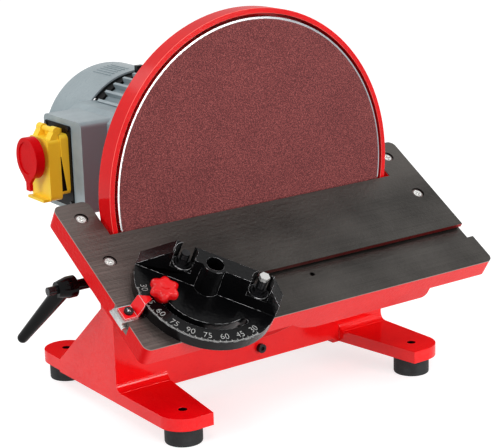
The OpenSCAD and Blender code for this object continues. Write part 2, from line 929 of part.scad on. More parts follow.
module fan_cowl() {
  color(grey) machine() translate([0, cowl_y, 0]) along_y() difference() {
    union() {
      cowl_shell(cowl_r, cowl_l, cowl_round);
      for (i = [0:louvre_count - 1]) rotate(-90 - louvre_turn + (i - louvre_count / 2) * louvre_pitch)
        translate([cowl_r - louvre_h, -louvre_w / 2, louvre_start])
          cube([2 * louvre_h, louvre_w, louvre_l]);
    }
    translate([0, 0, -overrun])
      cowl_shell(cowl_r - cowl_wall, cowl_l - cowl_wall + overrun, cowl_round - cowl_wall);
    intersection() {
      cylinder(r = grille_r, h = cowl_l + overrun);
      for (i = [0:grille_slots - 1])
        translate([-grille_r, (i - (grille_slots - 1) / 2) * grille_pitch - grille_w / 2, 0])
        cube([2 * grille_r, grille_w, cowl_l + overrun]);
    }
    for (a = lug_angles) rotate(a) translate([cowl_r + overrun, 0, lug_l / 2]) rotate([0, -90, 0])
      cylinder(r = cowl_screw_r + bolt_clear, h = cowl_screw_l);
  }
}

module cowl_screws() {
  color(black) machine() translate([0, cowl_y + lug_l / 2, 0]) along_y() for (a = lug_angles) rotate(a)
    translate([cowl_r - cowl_screw_l, 0, 0]) rotate([0, 90, 0])
      bolt(cowl_screw_r, cowl_screw_l, cowl_screw_head_r, cowl_screw_head_t);
}

module cowl_plug() {
  color(black) machine() translate([-plug_w / 2, cowl_y - plug_l, rear_shield_r + seat_clear])
    cube([plug_w, plug_l - seat_clear, cowl_over - rear_shield_lip + plug_h]);
}

// Switch: a box on the motor's left, with a hinged flap over the buttons
module box_solid(w, l, h, r) {
  side(-box_face, w) translate([box_y, box_z]) rounded_rect(l, h, r);
}

module switch_box() {
  color(grey) machine() difference() {
    union() {
      box_solid(box_face - box_back, box_l, box_h, box_round);
      wall(box_y - collar_l / 2, collar_l) translate([0, box_z])
        polygon([[-collar_in, -collar_h / 2], [-collar_in, collar_h / 2], [-collar_top_x, collar_h / 2],
          [-collar_out, collar_h / 2 - collar_slope], [-collar_out, collar_slope - collar_h / 2],
          [-collar_top_x, -collar_h / 2]]);
    }
    translate([box_wall, 0, 0])
      box_solid(box_face, box_l - 2 * box_wall, box_h - 2 * box_wall, box_round - box_wall);
    along_y() cylinder(r = frame_r + seat_clear, h = cowl_y);
    translate([0, rear_shield_y - seat_clear, 0]) along_y()
      cylinder(r = rear_shield_r + seat_clear, h = cowl_l);
    translate([0, cowl_y - pass_clear, 0]) along_y() cylinder(r = cowl_r + pass_clear, h = cowl_l);
    translate([-box_face - overrun, switch_y - switch_body_l / 2 - slide_clear,
      switch_z - switch_body_h / 2 - slide_clear])
      cube([box_wall + 2 * overrun, switch_body_l + 2 * slide_clear, switch_body_h + 2 * slide_clear]);
    translate([-gland_x, gland_y, box_top - box_h - overrun])
      cylinder(r = gland_r + seat_clear, h = box_wall + 2 * overrun);
    panel_corners() translate([-box_face - overrun, 0, 0]) along_x()
      cylinder(r = panel_screw_r + run_clear, h = box_wall + 2 * overrun);
  }
}

module panel_corners() {
  for (y = [-1, 1], z = [-1, 1])
    translate([0, panel_y + y * (panel_l / 2 - panel_inset),
      panel_z + z * (panel_h / 2 - panel_inset)]) children();
}

module switch_panel() {
  color(black) machine() difference() {
    side(-box_face - panel_t, panel_t) translate([panel_y, panel_z])
      rounded_rect(panel_l, panel_h, panel_corner);
    translate([-box_face - panel_t - overrun, switch_y - switch_body_l / 2 - slide_clear,
      switch_z - switch_body_h / 2 - slide_clear])
      cube([panel_t + 2 * overrun, switch_body_l + 2 * slide_clear, switch_body_h + 2 * slide_clear]);
    panel_corners() translate([-box_face - panel_t - overrun, 0, 0]) along_x()
      cylinder(r = panel_screw_r + run_clear, h = panel_t + 2 * overrun);
  }
}

module panel_screws() {
  color(zinc) machine() panel_corners() translate([-box_face + box_wall, 0, 0]) rotate([0, -90, 0])
    bolt(panel_screw_r, box_wall + panel_t, panel_head_r, panel_head_t);
}

switch_face = box_face + panel_t + switch_t;
hinge_x = -switch_face - hinge_drop;
knuckle_y = (switch_l - knuckle_l) / 2 - knuckle_inset;
pin_l = 2 * knuckle_y + knuckle_l;
middle_l = pin_l - 2 * (knuckle_l + pass_clear);
hinge_z = switch_z + switch_h / 2 + hinge_rise;

module switch_base() {
  color("gold") machine() difference() {
    union() {
      side(-switch_face, switch_t) translate([switch_y, switch_z])
        rounded_rect(switch_l, switch_h, switch_round);
      side(-box_face - panel_t - overrun, switch_body_t) translate([switch_y, switch_z])
        square([switch_body_l, switch_body_h], center = true);
      translate([hinge_x, switch_y - middle_l / 2, hinge_z]) along_y() cylinder(r = middle_r, h = middle_l);
      translate([hinge_x, switch_y - middle_l / 2, hinge_z - middle_r - hinge_rise])
        cube([hinge_drop + switch_t, middle_l, hinge_rise + middle_r]);
    }
    translate([0, switch_y - switch_l / 2 - overrun, 0]) wall(0, side_cut_in + overrun)
      polygon([[-switch_face - overrun, side_cut_top], [-switch_face, side_cut_top],
        [-switch_face + side_cut_w, -side_cut_low], [-switch_face - overrun, -side_cut_low]]);
    translate([hinge_x, switch_y - switch_l / 2 - overrun, hinge_z]) along_y()
      cylinder(r = hinge_pin_r + seat_clear / 2, h = switch_l + 2 * overrun);
    for (z = button_zs) translate([-switch_face - overrun, switch_y, z]) along_x() {
      cylinder(r = button_r + slide_clear, h = button_in + button_out + overrun);
      translate([0, 0, overrun + button_in - button_flange_t - slide_clear])
        cylinder(r = button_flange_r + slide_clear, h = button_out + button_flange_t + slide_clear);
    }
  }
}

module flap_pin() {
  color(zinc) machine() translate([hinge_x, switch_y - pin_l / 2, hinge_z]) along_y()
    cylinder(r = hinge_pin_r, h = pin_l);
}

flap_back = switch_face + flap_gap;
flap_front = flap_back + flap_t;

module switch_flap() {
  color("gold") machine() difference() {
    union() {
      side(-flap_front, flap_t) translate([switch_y, flap_top - flap_h / 2])
        rounded_rect(flap_w, flap_h, flap_round);
      for (s = [-1, 1]) translate([0, switch_y + s * knuckle_y - knuckle_l / 2, 0]) {
        translate([hinge_x, 0, hinge_z]) along_y() cylinder(r = hinge_r, h = knuckle_l);
        wall(0, knuckle_l) polygon([[-flap_front + arm_in, flap_top - flap_wall / 2],
          [hinge_x - hinge_r / 2, hinge_z + hinge_r / 2], [hinge_x, hinge_z],
          [-flap_back, flap_top - flap_wall / 2]]);
      }
      translate([-flap_front - tab_out, switch_y - tab_l / 2, flap_top - flap_h])
        cube([tab_out + flap_wall, tab_l, tab_t]);
    }
    side(-flap_front + flap_wall, flap_t) translate([switch_y, flap_top - flap_h / 2])
      rounded_rect(flap_w - 2 * flap_wall, flap_h - 2 * flap_wall, flap_round - flap_wall);
    translate([hinge_x, switch_y - switch_l / 2, hinge_z]) along_y()
      cylinder(r = hinge_pin_r + run_clear, h = switch_l);
    translate([-flap_front - overrun, switch_y, stop_z]) along_x()
      cylinder(r = stop_stem_r + slide_clear, h = flap_wall + 2 * overrun);
  }
}

module stop_button() {
  hold_r = stop_d / 2 * tail_hold_share;
  flank = hold_r * cos(tail_angle);
  waist = hold_r * sin(tail_angle);
  cap_front = flap_front + stop_stand + stop_t;
  color("red") machine() {
    difference() {
      union() {
        translate([-cap_front, switch_y, stop_z]) along_x() cylinder(r = stop_d / 2, h = stop_t);
        side(-cap_front, tail_t) translate([switch_y, stop_z])
          polygon([[-flank, -waist], [-tail_w / 2, -tail_neck], [-tail_w / 2, -tail_drop],
            [tail_w / 2, -tail_drop], [tail_w / 2, -tail_neck], [flank, -waist]]);
      }
      translate([-cap_front - overrun, switch_y, stop_z]) along_x()
        cylinder(r = stop_dish_r, h = stop_dish_d + overrun);
    }
    translate([-flap_front - stop_stand, switch_y, stop_z]) along_x() {
      cylinder(r = stop_stem_r, h = stop_stand + flap_wall + stop_stem_in);
      translate([0, 0, stop_stand + flap_wall + slide_clear])
        cylinder(r = stop_stem_r + stop_catch_t, h = stop_stem_in - slide_clear);
    }
  }
}

module push_button(z) {
  machine() translate([-switch_face - button_out, switch_y, z]) along_x() {
    cylinder(r = button_r, h = button_out + button_in);
    translate([0, 0, button_out + button_in - button_flange_t])
      cylinder(r = button_flange_r, h = button_flange_t);
  }
}

module start_button() {
  color("green") push_button(button_zs[0]);
}

module off_button() {
  color("red") push_button(button_zs[1]);
}

module run_capacitor() {
  color(black) machine() translate([-box_face + box_wall + seat_clear + capacitor_r, capacitor_y,
    box_top - box_h + box_wall + seat_clear]) cylinder(r = capacitor_r, h = capacitor_h);
}

module cable_gland() {
  color(black) machine() translate([-gland_x, gland_y, box_top - box_h]) difference() {
    union() {
      translate([0, 0, -gland_l]) cylinder(r = gland_r, h = gland_l + box_wall);
      translate([0, 0, -gland_nut_l]) cylinder(r = gland_nut_r, h = gland_nut_l, $fn = 6);
    }
    translate([0, 0, -gland_l - overrun])
      cylinder(r = gland_bore_r, h = gland_l + box_wall + 2 * overrun);
  }
}

// Table and the gear that lets it tilt
module table_outline() {
  translate([0, -table_front / 2]) rounded_rect(table_w, table_front, table_corner);
  wing_w = table_w / 2 - notch_half;
  for (s = [-1, 1]) translate([s * (notch_half + wing_w / 2), 0])
    rounded_rect(wing_w, 2 * wing_l, table_corner);
}

module table_pockets() {
  inner = table_w / 2 - skirt_t;
  translate([-inner, -slot_v + slot_rib]) square([2 * inner, slot_v - slot_rib]);
  wing_pocket = slot_v - slot_rib + wing_l - skirt_t;
  for (s = [-1, 1]) translate([s * (inner + notch_half - skirt_t) / 2, wing_l - skirt_t - wing_pocket / 2])
    square([inner - notch_half + skirt_t, wing_pocket], center = true);
  translate([-inner, -table_front + skirt_t])
    square([2 * inner, table_front - skirt_t - slot_v - slot_rib]);
}

// The rib under the front skirt, with a long sweep at its left end
module table_rib() {
  foot = -skirt_h - rib_drop;
  rise = rib_sweep - rib_drop;
  run = sqrt(rib_sweep * rib_sweep - rise * rise);
  difference() {
    translate([(rib_left + rib_right) / 2, (foot - table_t) / 2])
      rounded_rect(rib_right - rib_left, -table_t - foot, rib_corner);
    difference() {
      translate([rib_left - overrun, foot - overrun]) square([run + overrun, rib_drop + overrun]);
      translate([rib_left + run, foot + rib_sweep - end_ease]) circle(rib_sweep);
    }
  }
}

module table() {
  color("dimgray") on_table() difference() {
    union() {
      difference() {
        translate([0, 0, -skirt_h]) linear_extrude(skirt_h) table_outline();
        translate([0, 0, -skirt_h - overrun]) linear_extrude(skirt_h - table_t + overrun)
          table_pockets();
      }
      wall(-table_front + rib_setback, rib_t) table_rib();
    }
    translate([-notch_half - skirt_t, 0, -notch_land]) rotate([-135, 0, 0])
      cube([2 * (notch_half + skirt_t), 2 * skirt_h, 2 * skirt_h]);
    translate([-table_w / 2 - overrun, -slot_v - slot_w / 2, -slot_d])
      cube([table_w + 2 * overrun, slot_w, slot_d + overrun]);
    translate([-table_w / 2 - overrun, -slot_v - slot_w / 2 - slot_step, -slot_d])
      cube([table_w + 2 * overrun, slot_w + 2 * slot_step, slot_d - slot_lip]);
    translate([floor_hole_u, -slot_v - floor_hole_front, -skirt_h - overrun])
      cylinder(r = floor_hole_r, h = skirt_h);
    for (s = [-1, 1], v = table_screw_vs) translate([s * table_screw_u, -v, 0]) {
      translate([0, 0, -table_t - overrun])
        cylinder(r = table_screw_r + bolt_clear, h = table_t + 2 * overrun);
      translate([0, 0, -table_sink_d]) cylinder(r = table_sink_r, h = table_sink_d + overrun);
    }
  }
}

module trunnion() {
  on_table() difference() {
    union() {
      side(trunnion_x, trunnion_t) intersection() {
        circle(arc_r + trunnion_edge);
        translate([-trunnion_front, -arc_r - trunnion_edge])
          square([trunnion_front + trunnion_back, arc_r + trunnion_edge + trunnion_top]);
      }
      translate([notch_half + slide_clear, -trunnion_front, trunnion_top - trunnion_flange_t])
        cube([trunnion_flange_w, trunnion_front + trunnion_back, trunnion_flange_t]);
    }
    side(trunnion_x - overrun, trunnion_t + 2 * overrun)
      arc_slot(arc_r, 2 * (stud_r + bolt_clear), slot_front_angle - 90, slot_back_angle - 90);
    for (v = table_screw_vs) translate([table_screw_u, -v, trunnion_top - trunnion_flange_t - overrun])
      cylinder(r = table_screw_r + run_clear, h = trunnion_flange_t + 2 * overrun);
  }
}

module left_trunnion() {
  color(red) mirror([1, 0, 0]) trunnion();
}

module right_trunnion() {
  color(red) trunnion();
}

module table_screws() {
  color(zinc) on_table() for (s = [-1, 1], v = table_screw_vs)
    translate([s * table_screw_u, -v, -table_sink_d])
    difference() {
      translate([0, 0, -table_screw_l]) bolt(table_screw_r, table_screw_l, table_head_r, table_head_t);
      for (a = [0, 90]) rotate(a) translate([-cross_l / 2, -cross_w / 2, table_head_t - cross_d])
        cube([cross_l, cross_w, table_head_t]);
    }
}

module guide_pins() {
  color(zinc) machine() both_sides()
    translate([base_w / 2 - plate_t + overrun, guide_y, guide_z]) along_x()
    cylinder(r = stud_r, h = plate_t - overrun + trunnion_gap + trunnion_t + overrun);
}

module clamp_stud() {
  start = base_w / 2 - plate_t + stud_head_t;
  color(black) on_stud() translate([0, 0, start]) {
    cylinder(r = stud_r, h = sleeve_out + lever_hub_l + stud_proud - start);
    translate([0, 0, -stud_head_t]) cylinder(r = stud_head_r, h = stud_head_t, $fn = 6);
  }
}

module trunnion_washers() {
  color(zinc) machine() both_sides() for (c = [[stud_y, stud_z]]) {
    translate([base_w / 2 + (trunnion_gap - washer_t) / 2, c[0], c[1]]) along_x()
      tube(washer_r, stud_r + run_clear, washer_t);
    translate([trunnion_x + trunnion_t + slide_clear, c[0], c[1]]) along_x()
      tube(washer_r, stud_r + run_clear, washer_t);
  }
}

module clamp_bolt() {
  start = base_w / 2 - plate_t + stud_head_t;
  color(black) machine() translate([start, stud_y, stud_z]) along_x() {
    cylinder(r = stud_r, h = clamp_seat + nut_t + overrun - start);
    translate([0, 0, -stud_head_t]) cylinder(r = stud_head_r, h = stud_head_t, $fn = 6);
  }
}

module clamp_nut() {
  color(zinc) machine() translate([clamp_seat, stud_y, stud_z]) along_x() difference() {
    cylinder(r = nut_r, h = nut_t, $fn = 6);
    translate([0, 0, -overrun]) cylinder(r = stud_r + run_clear, h = nut_t + 2 * overrun);
  }
}

// Lock lever: a threaded bush in a tapered handle, on the clamp stud
module lever_bush() {
  start = clamp_seat + slide_clear;
  color(black) on_stud() translate([0, 0, start])
    tube(sleeve_r, stud_r + run_clear, sleeve_out + lever_hub_l - bush_short - start);
}

module lever_handle() {
  root = lever_root_d / 2;
  tip = lever_tip_d / 2;
  out = sleeve_out + lever_hub_l - root;
  bush_end = sleeve_out + lever_hub_l - bush_short;
  color(black) on_stud() difference() {
    union() {
      translate([0, 0, sleeve_out]) rotate_extrude()
        polygon([[0, 0], [lever_hub_d / 2, 0], [lever_hub_d / 2, lever_hub_l * hub_straight_share],
          [lever_hub_d / 2 * hub_nose_share, lever_hub_l], [0, lever_hub_l]]);
      hull() {
        translate([0, 0, out]) sphere(root, $fn = 32);
        rotate(lever_turn - 90) translate([tip - lever_reach, 0, out + lever_reach * tan(lever_tilt)])
          sphere(tip, $fn = 32);
      }
    }
    translate([0, 0, sleeve_out - overrun])
      cylinder(r = lever_bore_r, h = bush_end - sleeve_out + overrun + seat_clear);
    translate([0, 0, sleeve_out]) cylinder(r = stud_r + run_clear, h = 2 * lever_hub_l);
  }
}

// Mitre gauge: a bar in the slot, a pointer, and a head clamped at its angle by the star knob
module mitre_bar() {
  color(steel) on_bar() difference() {
    translate([-bar_left, -bar_w / 2, -bar_sink - bar_t]) {
      cube([bar_left + bar_right, bar_w, bar_t]);
      translate([0, -slot_step + slide_clear, 0])
        cube([bar_left + bar_right, bar_w + 2 * (slot_step - slide_clear), bar_foot_t]);
    }
    for (c = [[0, pivot_r], [-scale_slot_r, knob_stud_r], [-bar_left + pointer_inset + pointer_l / 2,
      pointer_screw_r]])
      translate([c[0], 0, -bar_t - bar_sink - overrun])
        cylinder(r = c[1] + run_clear, h = bar_t + 2 * overrun);
  }
}

module mitre_pointer() {
  bend = pointer_l + pointer_run;
  tip = bend + pointer_tip_l;
  color(red) on_bar() translate([pointer_inset - bar_left, 0, -bar_sink]) difference() {
    intersection() {
      wall(-pointer_w / 2, pointer_w)
        polygon([[0, 0], [pointer_l, 0], [bend, pointer_rise], [tip, pointer_rise],
          [tip, pointer_rise + pointer_t], [bend - pointer_t, pointer_rise + pointer_t],
          [pointer_l - pointer_t, pointer_t], [0, pointer_t]]);
      linear_extrude(2 * pointer_rise)
        polygon([[-overrun, -pointer_w], [pointer_l, -pointer_w],
          [bend - pointer_t, -pointer_w / 2 + overrun], [tip + overrun, -pointer_tip_w / 2],
          [tip + overrun, pointer_tip_w / 2], [bend - pointer_t, pointer_w / 2 - overrun],
          [pointer_l, pointer_w], [-overrun, pointer_w]]);
    }
    translate([pointer_l / 2, 0, -overrun])
      cylinder(r = pointer_screw_r + run_clear, h = pointer_t + 2 * overrun);
  }
}

module pointer_screw() {
  color(black) on_bar() translate([-bar_left + pointer_inset + pointer_l / 2, 0, -bar_t / 2])
    bolt(pointer_screw_r, bar_t / 2 - bar_sink + pointer_t, pointer_head_r, pointer_head_t);
}

module mitre_stud() {
  color(steel) on_bar() translate([-scale_slot_r, 0, -bar_t])
    cylinder(r = knob_stud_r, h = bar_t + head_lift + head_t + knob_lift + knob_t / 2);
}

module mitre_pivot_screw() {
  color(black) on_bar() translate([0, 0, -bar_t])
    bolt(pivot_r, bar_t + head_lift + pivot_seat + slide_clear, pivot_head_r, pivot_head_t);
}

module mitre_knob() {
  lobe_ring = knob_d / 2 * lobe_ring_share;
  color("red") on_bar() translate([-scale_slot_r, 0, head_lift + head_t + slide_clear]) difference() {
    union() {
      cylinder(r = knob_boss_r, h = knob_lift);
      translate([0, 0, knob_lift]) linear_extrude(knob_t) {
        circle(lobe_ring);
        for (i = [0:knob_lobes - 1]) rotate(i * 360 / knob_lobes) translate([lobe_ring, 0])
          circle(knob_d / 2 * lobe_share);
      }
    }
    translate([0, 0, -overrun])
      cylinder(r = knob_stud_r + run_clear, h = knob_lift + knob_t / 2 + overrun);
  }
}

// The fence's end view from its foot to its top
module fence_front_view() {
  half = fence_l / 2;
  polygon([[-half, 0], [-half, fence_h - left_cut_h], [-half + left_cut_l, fence_h],
    [half - right_cut_l, fence_h], [half, fence_h - right_cut_h], [half, 0]]);
}

module mitre_head() {
  color(black) on_head() translate([0, 0, head_lift]) difference() {
    union() {
      intersection() {
        cylinder(r = head_r, h = head_t);
        translate([-head_r, -head_r, 0]) cube([2 * head_r, head_r + fence_y, head_t]);
      }
      wall(fence_y - fence_t, fence_t) fence_front_view();
      intersection() {
        cylinder(r1 = pivot_root_r, r2 = pivot_boss_r, h = fence_h);
        translate([-head_r, -head_r, 0]) cube([2 * head_r, head_r + fence_y, fence_h]);
      }
    }
    translate([0, 0, -overrun]) cylinder(r = pivot_r + run_clear, h = fence_h);
    translate([0, 0, pivot_seat]) cylinder(r = pivot_sink_r, h = fence_h);
    translate([0, 0, -overrun]) linear_extrude(head_t + 2 * overrun)
      arc_slot(scale_slot_r, scale_slot_w, -90 - scale_half, scale_half - 90);
    for (x = post_xs) translate([x, 0, 0]) {
      translate([0, post_y, post_seat]) cylinder(r = post_pocket_r, h = fence_h);
      translate([-post_mouth_w / 2, fence_y - fence_t - overrun, post_seat])
        cube([post_mouth_w, post_y - fence_y + fence_t + overrun, fence_h]);
      translate([0, post_y, -overrun]) cylinder(r = post_r + bolt_clear, h = fence_h);
    }
  }
}

module fence_posts() {
  on_head() translate([0, 0, head_lift]) for (i = [0, 1]) translate([post_xs[i], post_y, 0]) {
    color(black) translate([0, 0, bolt_clear]) cylinder(r = post_r, h = post_tops[i] - bolt_clear);
    color(black) translate([0, 0, post_seat + post_washer_t])
      cylinder(r = post_nut_r, h = post_nut_t, $fn = 6);
    color(black) translate([0, 0, post_seat + post_washer_t])
      cylinder(r = post_flange_r, h = post_flange_t);
    if (i == 1) color(zinc) translate([0, 0, post_tops[i] - post_hex_h])
      cylinder(r = post_hex_r, h = post_hex_h, $fn = 6);
  }
}

module fence_washers() {
  color(black) on_head() translate([0, 0, head_lift + post_seat]) for (x = post_xs)
    translate([x, post_y, 0])
    tube(post_washer_r, post_r + run_clear, post_washer_t);
}

base_casting();
rubber_feet();
wall_screw();
disc_housing();
housing_screws();
dust_port();
sanding_disc();
abrasive_sheet();
disc_set_screw();
shaft_key();
motor_shaft();
rotor_core();
cooling_fan();
front_end_shield();
motor_frame();
rear_end_shield();
stator_core();
stator_windings();
front_bearing();
rear_bearing();
flange_bolts();
fan_cowl();
cowl_screws();
cowl_plug();
switch_box();
switch_panel();
panel_screws();
switch_base();
flap_pin();
switch_flap();
stop_button();
start_button();
off_button();
run_capacitor();
cable_gland();
table();
left_trunnion();
right_trunnion();
table_screws();
guide_pins();
clamp_stud();
trunnion_washers();
clamp_bolt();
clamp_nut();
lever_bush();
lever_handle();
mitre_bar();
mitre_pointer();
pointer_screw();
mitre_stud();
mitre_pivot_screw();
mitre_knob();
mitre_head();
fence_posts();
fence_washers();
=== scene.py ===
import json
import math

import bmesh
import bpy
from mathutils import Matrix, Vector


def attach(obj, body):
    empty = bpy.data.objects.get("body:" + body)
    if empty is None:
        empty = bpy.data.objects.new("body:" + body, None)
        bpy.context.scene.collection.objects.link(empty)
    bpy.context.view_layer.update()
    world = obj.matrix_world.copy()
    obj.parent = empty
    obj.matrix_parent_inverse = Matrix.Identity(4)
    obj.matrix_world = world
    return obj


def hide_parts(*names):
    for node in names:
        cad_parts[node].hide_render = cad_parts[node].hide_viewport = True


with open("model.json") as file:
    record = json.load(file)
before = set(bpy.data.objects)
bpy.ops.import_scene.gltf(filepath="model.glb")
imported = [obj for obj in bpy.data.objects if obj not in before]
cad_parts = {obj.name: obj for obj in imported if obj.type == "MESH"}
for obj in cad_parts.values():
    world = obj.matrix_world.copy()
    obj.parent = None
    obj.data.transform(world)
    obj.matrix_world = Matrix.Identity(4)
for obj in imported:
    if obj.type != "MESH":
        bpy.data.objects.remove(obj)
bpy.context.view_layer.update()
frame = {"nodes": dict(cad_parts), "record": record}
nodes = frame["nodes"]
print("frame loaded with", len(nodes), "nodes")

millimetre = 0.001


# places that several pieces share, in metres and degrees
tilt = math.radians(32)
tableEdge = Vector((0, -0.041, 0.1835))  # tilt axis, on the table's top at the edge next to the disc
tableRight = Vector((1, 0, 0))
tableFront = Vector((0, -math.cos(tilt), -math.sin(tilt)))
tableUp = Vector((0, -math.sin(tilt), math.cos(tilt)))
gaugePlace = {"along": -0.117, "front": 0.089, "turn": -45}


def onTable(right, front):
    return tableEdge + right * tableRight + front * tableFront


def turned(degrees):  # about the upright axis
    return Matrix.Rotation(math.radians(degrees), 4, "Z")


def tableFrame(right, front, turn=0):
    axes = Matrix((tableRight, -tableFront, tableUp)).transposed().to_4x4()
    return Matrix.Translation(onTable(right, front)) @ axes @ turned(turn)


headFrame = tableFrame(gaugePlace["along"], gaugePlace["front"], gaugePlace["turn"])
barFrame = tableFrame(gaugePlace["along"], gaugePlace["front"])


class Line:  # one socket of a material, so that shader sums read as Python
    def __init__(self, tree, socket=None):
        self.tree = tree
        self.socket = socket

    def node(self, kind, settings=None, values=None, out=0):
        made = self.tree.nodes.new("ShaderNode" + kind)
        for key, value in (settings or {}).items():
            if key == "stops":
                elements = made.color_ramp.elements
                while len(elements) < len(value):
                    elements.new(0.5)
                for element, (spot, colour) in zip(elements, value):
                    element.position = spot
                    element.color = colour
            else:
                setattr(made, key, value)
        for key, value in (values or {}).items():
            if isinstance(value, Line):
                self.tree.links.new(value.socket, made.inputs[key])
            else:
                made.inputs[key].default_value = value
        if isinstance(out, tuple):
            return tuple(Line(self.tree, made.outputs[name]) for name in out)
        return Line(self.tree, made.outputs[out])

    def maths(self, operation, first, second):
        return self.node("Math", {"operation": operation}, {0: first, 1: second})

    def __add__(self, other):
        return self.maths("ADD", self, other)

    def __radd__(self, other):
        return self.maths("ADD", other, self)

    def __sub__(self, other):
        return self.maths("SUBTRACT", self, other)

    def __rsub__(self, other):
        return self.maths("SUBTRACT", other, self)

    def __mul__(self, other):
        return self.maths("MULTIPLY", self, other)

    def __rmul__(self, other):
        return self.maths("MULTIPLY", other, self)

    def __gt__(self, other):
        return self.maths("GREATER_THAN", self, other)

    def __lt__(self, other):
        return self.maths("LESS_THAN", self, other)


def rgb(red, green, blue):  # screen colour to the shader's own
    parts = [part / 255 for part in (red, green, blue)]
    return tuple(p / 12.92 if p < 0.04045 else ((p + 0.055) / 1.055) ** 2.4 for p in parts) + (1,)


def startFinish(name):
    material = bpy.data.materials.new(name)
    material.use_nodes = True
    shader = material.node_tree.nodes["Principled BSDF"]
    return material, shader, Line(material.node_tree)


def feed(shader, start, values):
    for key, value in values.items():
        if isinstance(value, Line):
            start.tree.links.new(value.socket, shader.inputs[key])
        else:
            shader.inputs[key].default_value = value


def mixColour(amount, first, second):
    return amount.node("Mix", {"data_type": "RGBA"}, {0: amount, 6: first, 7: second}, out=2)


def grain(start, place, scale, detail=3.0, rough=0.55):
    return start.node("TexNoise", {}, {"Vector": place, "Scale": scale, "Detail": detail, "Roughness": rough})


noiseSpan = (0.3, 0.7)  # most of a noise lies between these


def spread(value, low, high, least=0.0, most=1.0):
    limits = {"Value": value, "From Min": low, "From Max": high, "To Min": least, "To Max": most}
    return value.node("MapRange", {"clamp": True}, limits)


def uneven(noise, rough, reach):  # roughness that wanders below and above its middle
    below, above = reach
    return spread(noise, *noiseSpan, rough - below, rough + above)


def bump(start, height, strength, distance, under=None):  # under is a bump that this one lies on
    values = {"Height": height, "Strength": strength, "Distance": distance}
    if under is not None:
        values["Normal"] = under
    return start.node("Bump", {}, values)


def objectPlace(start):
    return start.node("TexCoord", {}, {}, out="Object")


def vectorMaths(start, operation, values, out=0):
    return start.node("VectorMath", {"operation": operation}, dict(enumerate(values)), out)


def stretched(start, place, factors):
    return vectorMaths(start, "MULTIPLY", (place, factors))


def along(start, place, direction):
    return vectorMaths(start, "DOT_PRODUCT", (place, tuple(direction)), out=1)


def facing(start, direction):  # how far a face looks along a direction
    return along(start, start.node("TexCoord", {}, {}, out="Normal"), direction)


def boreMask(start, place, centre, axis, reach):  # one inside a bore of that reach, else nought
    fromBore = vectorMaths(start, "SUBTRACT", (place, tuple(centre)))
    across = vectorMaths(start, "CROSS_PRODUCT", (fromBore, tuple(axis)))
    return vectorMaths(start, "LENGTH", (across,), out=1) < reach


def boresMask(start, place, bores, axis, top):  # all the bores of one piece, below their top face
    inside = boreMask(start, place, *bores[0])
    for bore in bores[1:]:
        inside = start.maths("MAXIMUM", inside, boreMask(start, place, *bore))
    return inside * (along(start, place, axis) < top)


# painted castings: gloss coat with a fine orange peel over a cast skin
paintLook = {"cloudScale": 18, "skinScale": 300, "skinStrength": 0.6, "skinHeight": 0.0007,
             "pitFrom": 0.30, "pitTo": 0.42, "peelScale": 950, "peelStrength": 0.3, "peelHeight": 0.00004,
             "rough": 0.34, "uneven": (0.05, 0.07), "coat": 0.66, "coatRoughness": 0.14,
             "mottleScale": 640, "mottleFrom": 0.35, "mottleTo": 0.65, "mottleLeast": 0.75, "mottleMost": 1.25}


def paintNodes(start, place, light, deep, rough):
    clouds = grain(start, place, paintLook["cloudScale"], detail=4)
    peel = grain(start, place, paintLook["peelScale"], detail=2)
    skin = grain(start, place, paintLook["skinScale"], detail=5, rough=0.6)
    pits = spread(skin, paintLook["pitFrom"], paintLook["pitTo"])
    colour = mixColour(spread(clouds, *noiseSpan), rgb(*deep), rgb(*light))
    colour = mixColour(pits, rgb(*deep), colour)
    lumps = bump(start, skin, paintLook["skinStrength"], paintLook["skinHeight"])
    normal = bump(start, peel, paintLook["peelStrength"], paintLook["peelHeight"], lumps)
    return colour, uneven(peel, rough, paintLook["uneven"]), normal


def mottle(start, place):  # sprayed gloss comes and goes over a few millimetres
    return spread(grain(start, place, paintLook["mottleScale"], detail=2), paintLook["mottleFrom"],
                  paintLook["mottleTo"], paintLook["mottleLeast"], paintLook["mottleMost"])


def paintFinish(name, light, deep, rough=paintLook["rough"], specular=0.0, coat=paintLook["coat"], base=None):
    material, shader, start = startFinish(name)
    place = objectPlace(start)
    colour, roughness, normal = paintNodes(start, place, light, deep, rough)
    if base:  # painted shade in its holes, and its upper faces are dull
        inside = boresMask(start, place, base["bores"], base["axis"], base["top"])
        colour = mixColour(inside, colour, rgb(*base["colour"]))
        coat = spread(facing(start, base["axis"]), base["dullFrom"], base["dullTo"], coat, base["topCoat"])
        coat = coat * mottle(start, place)
    feed(shader, start, {"Base Color": colour, "Roughness": roughness, "Normal": normal, "Coat Weight": coat,
                         "Specular IOR Level": specular, "Coat Roughness": paintLook["coatRoughness"]})
    return material


# moulded plastics: satin skin with a faint spark texture and flow marks
plasticLook = {"sparkScale": 1500, "sparkStrength": 0.25, "sparkHeight": 0.00003, "uneven": (0.06, 0.08),
               "flowScale": 45, "flowFrom": 0.32, "flowTo": 0.68, "coatRoughness": 0.1,
               "frontShadeFrom": 0.75, "frontShadeTo": 0.98}


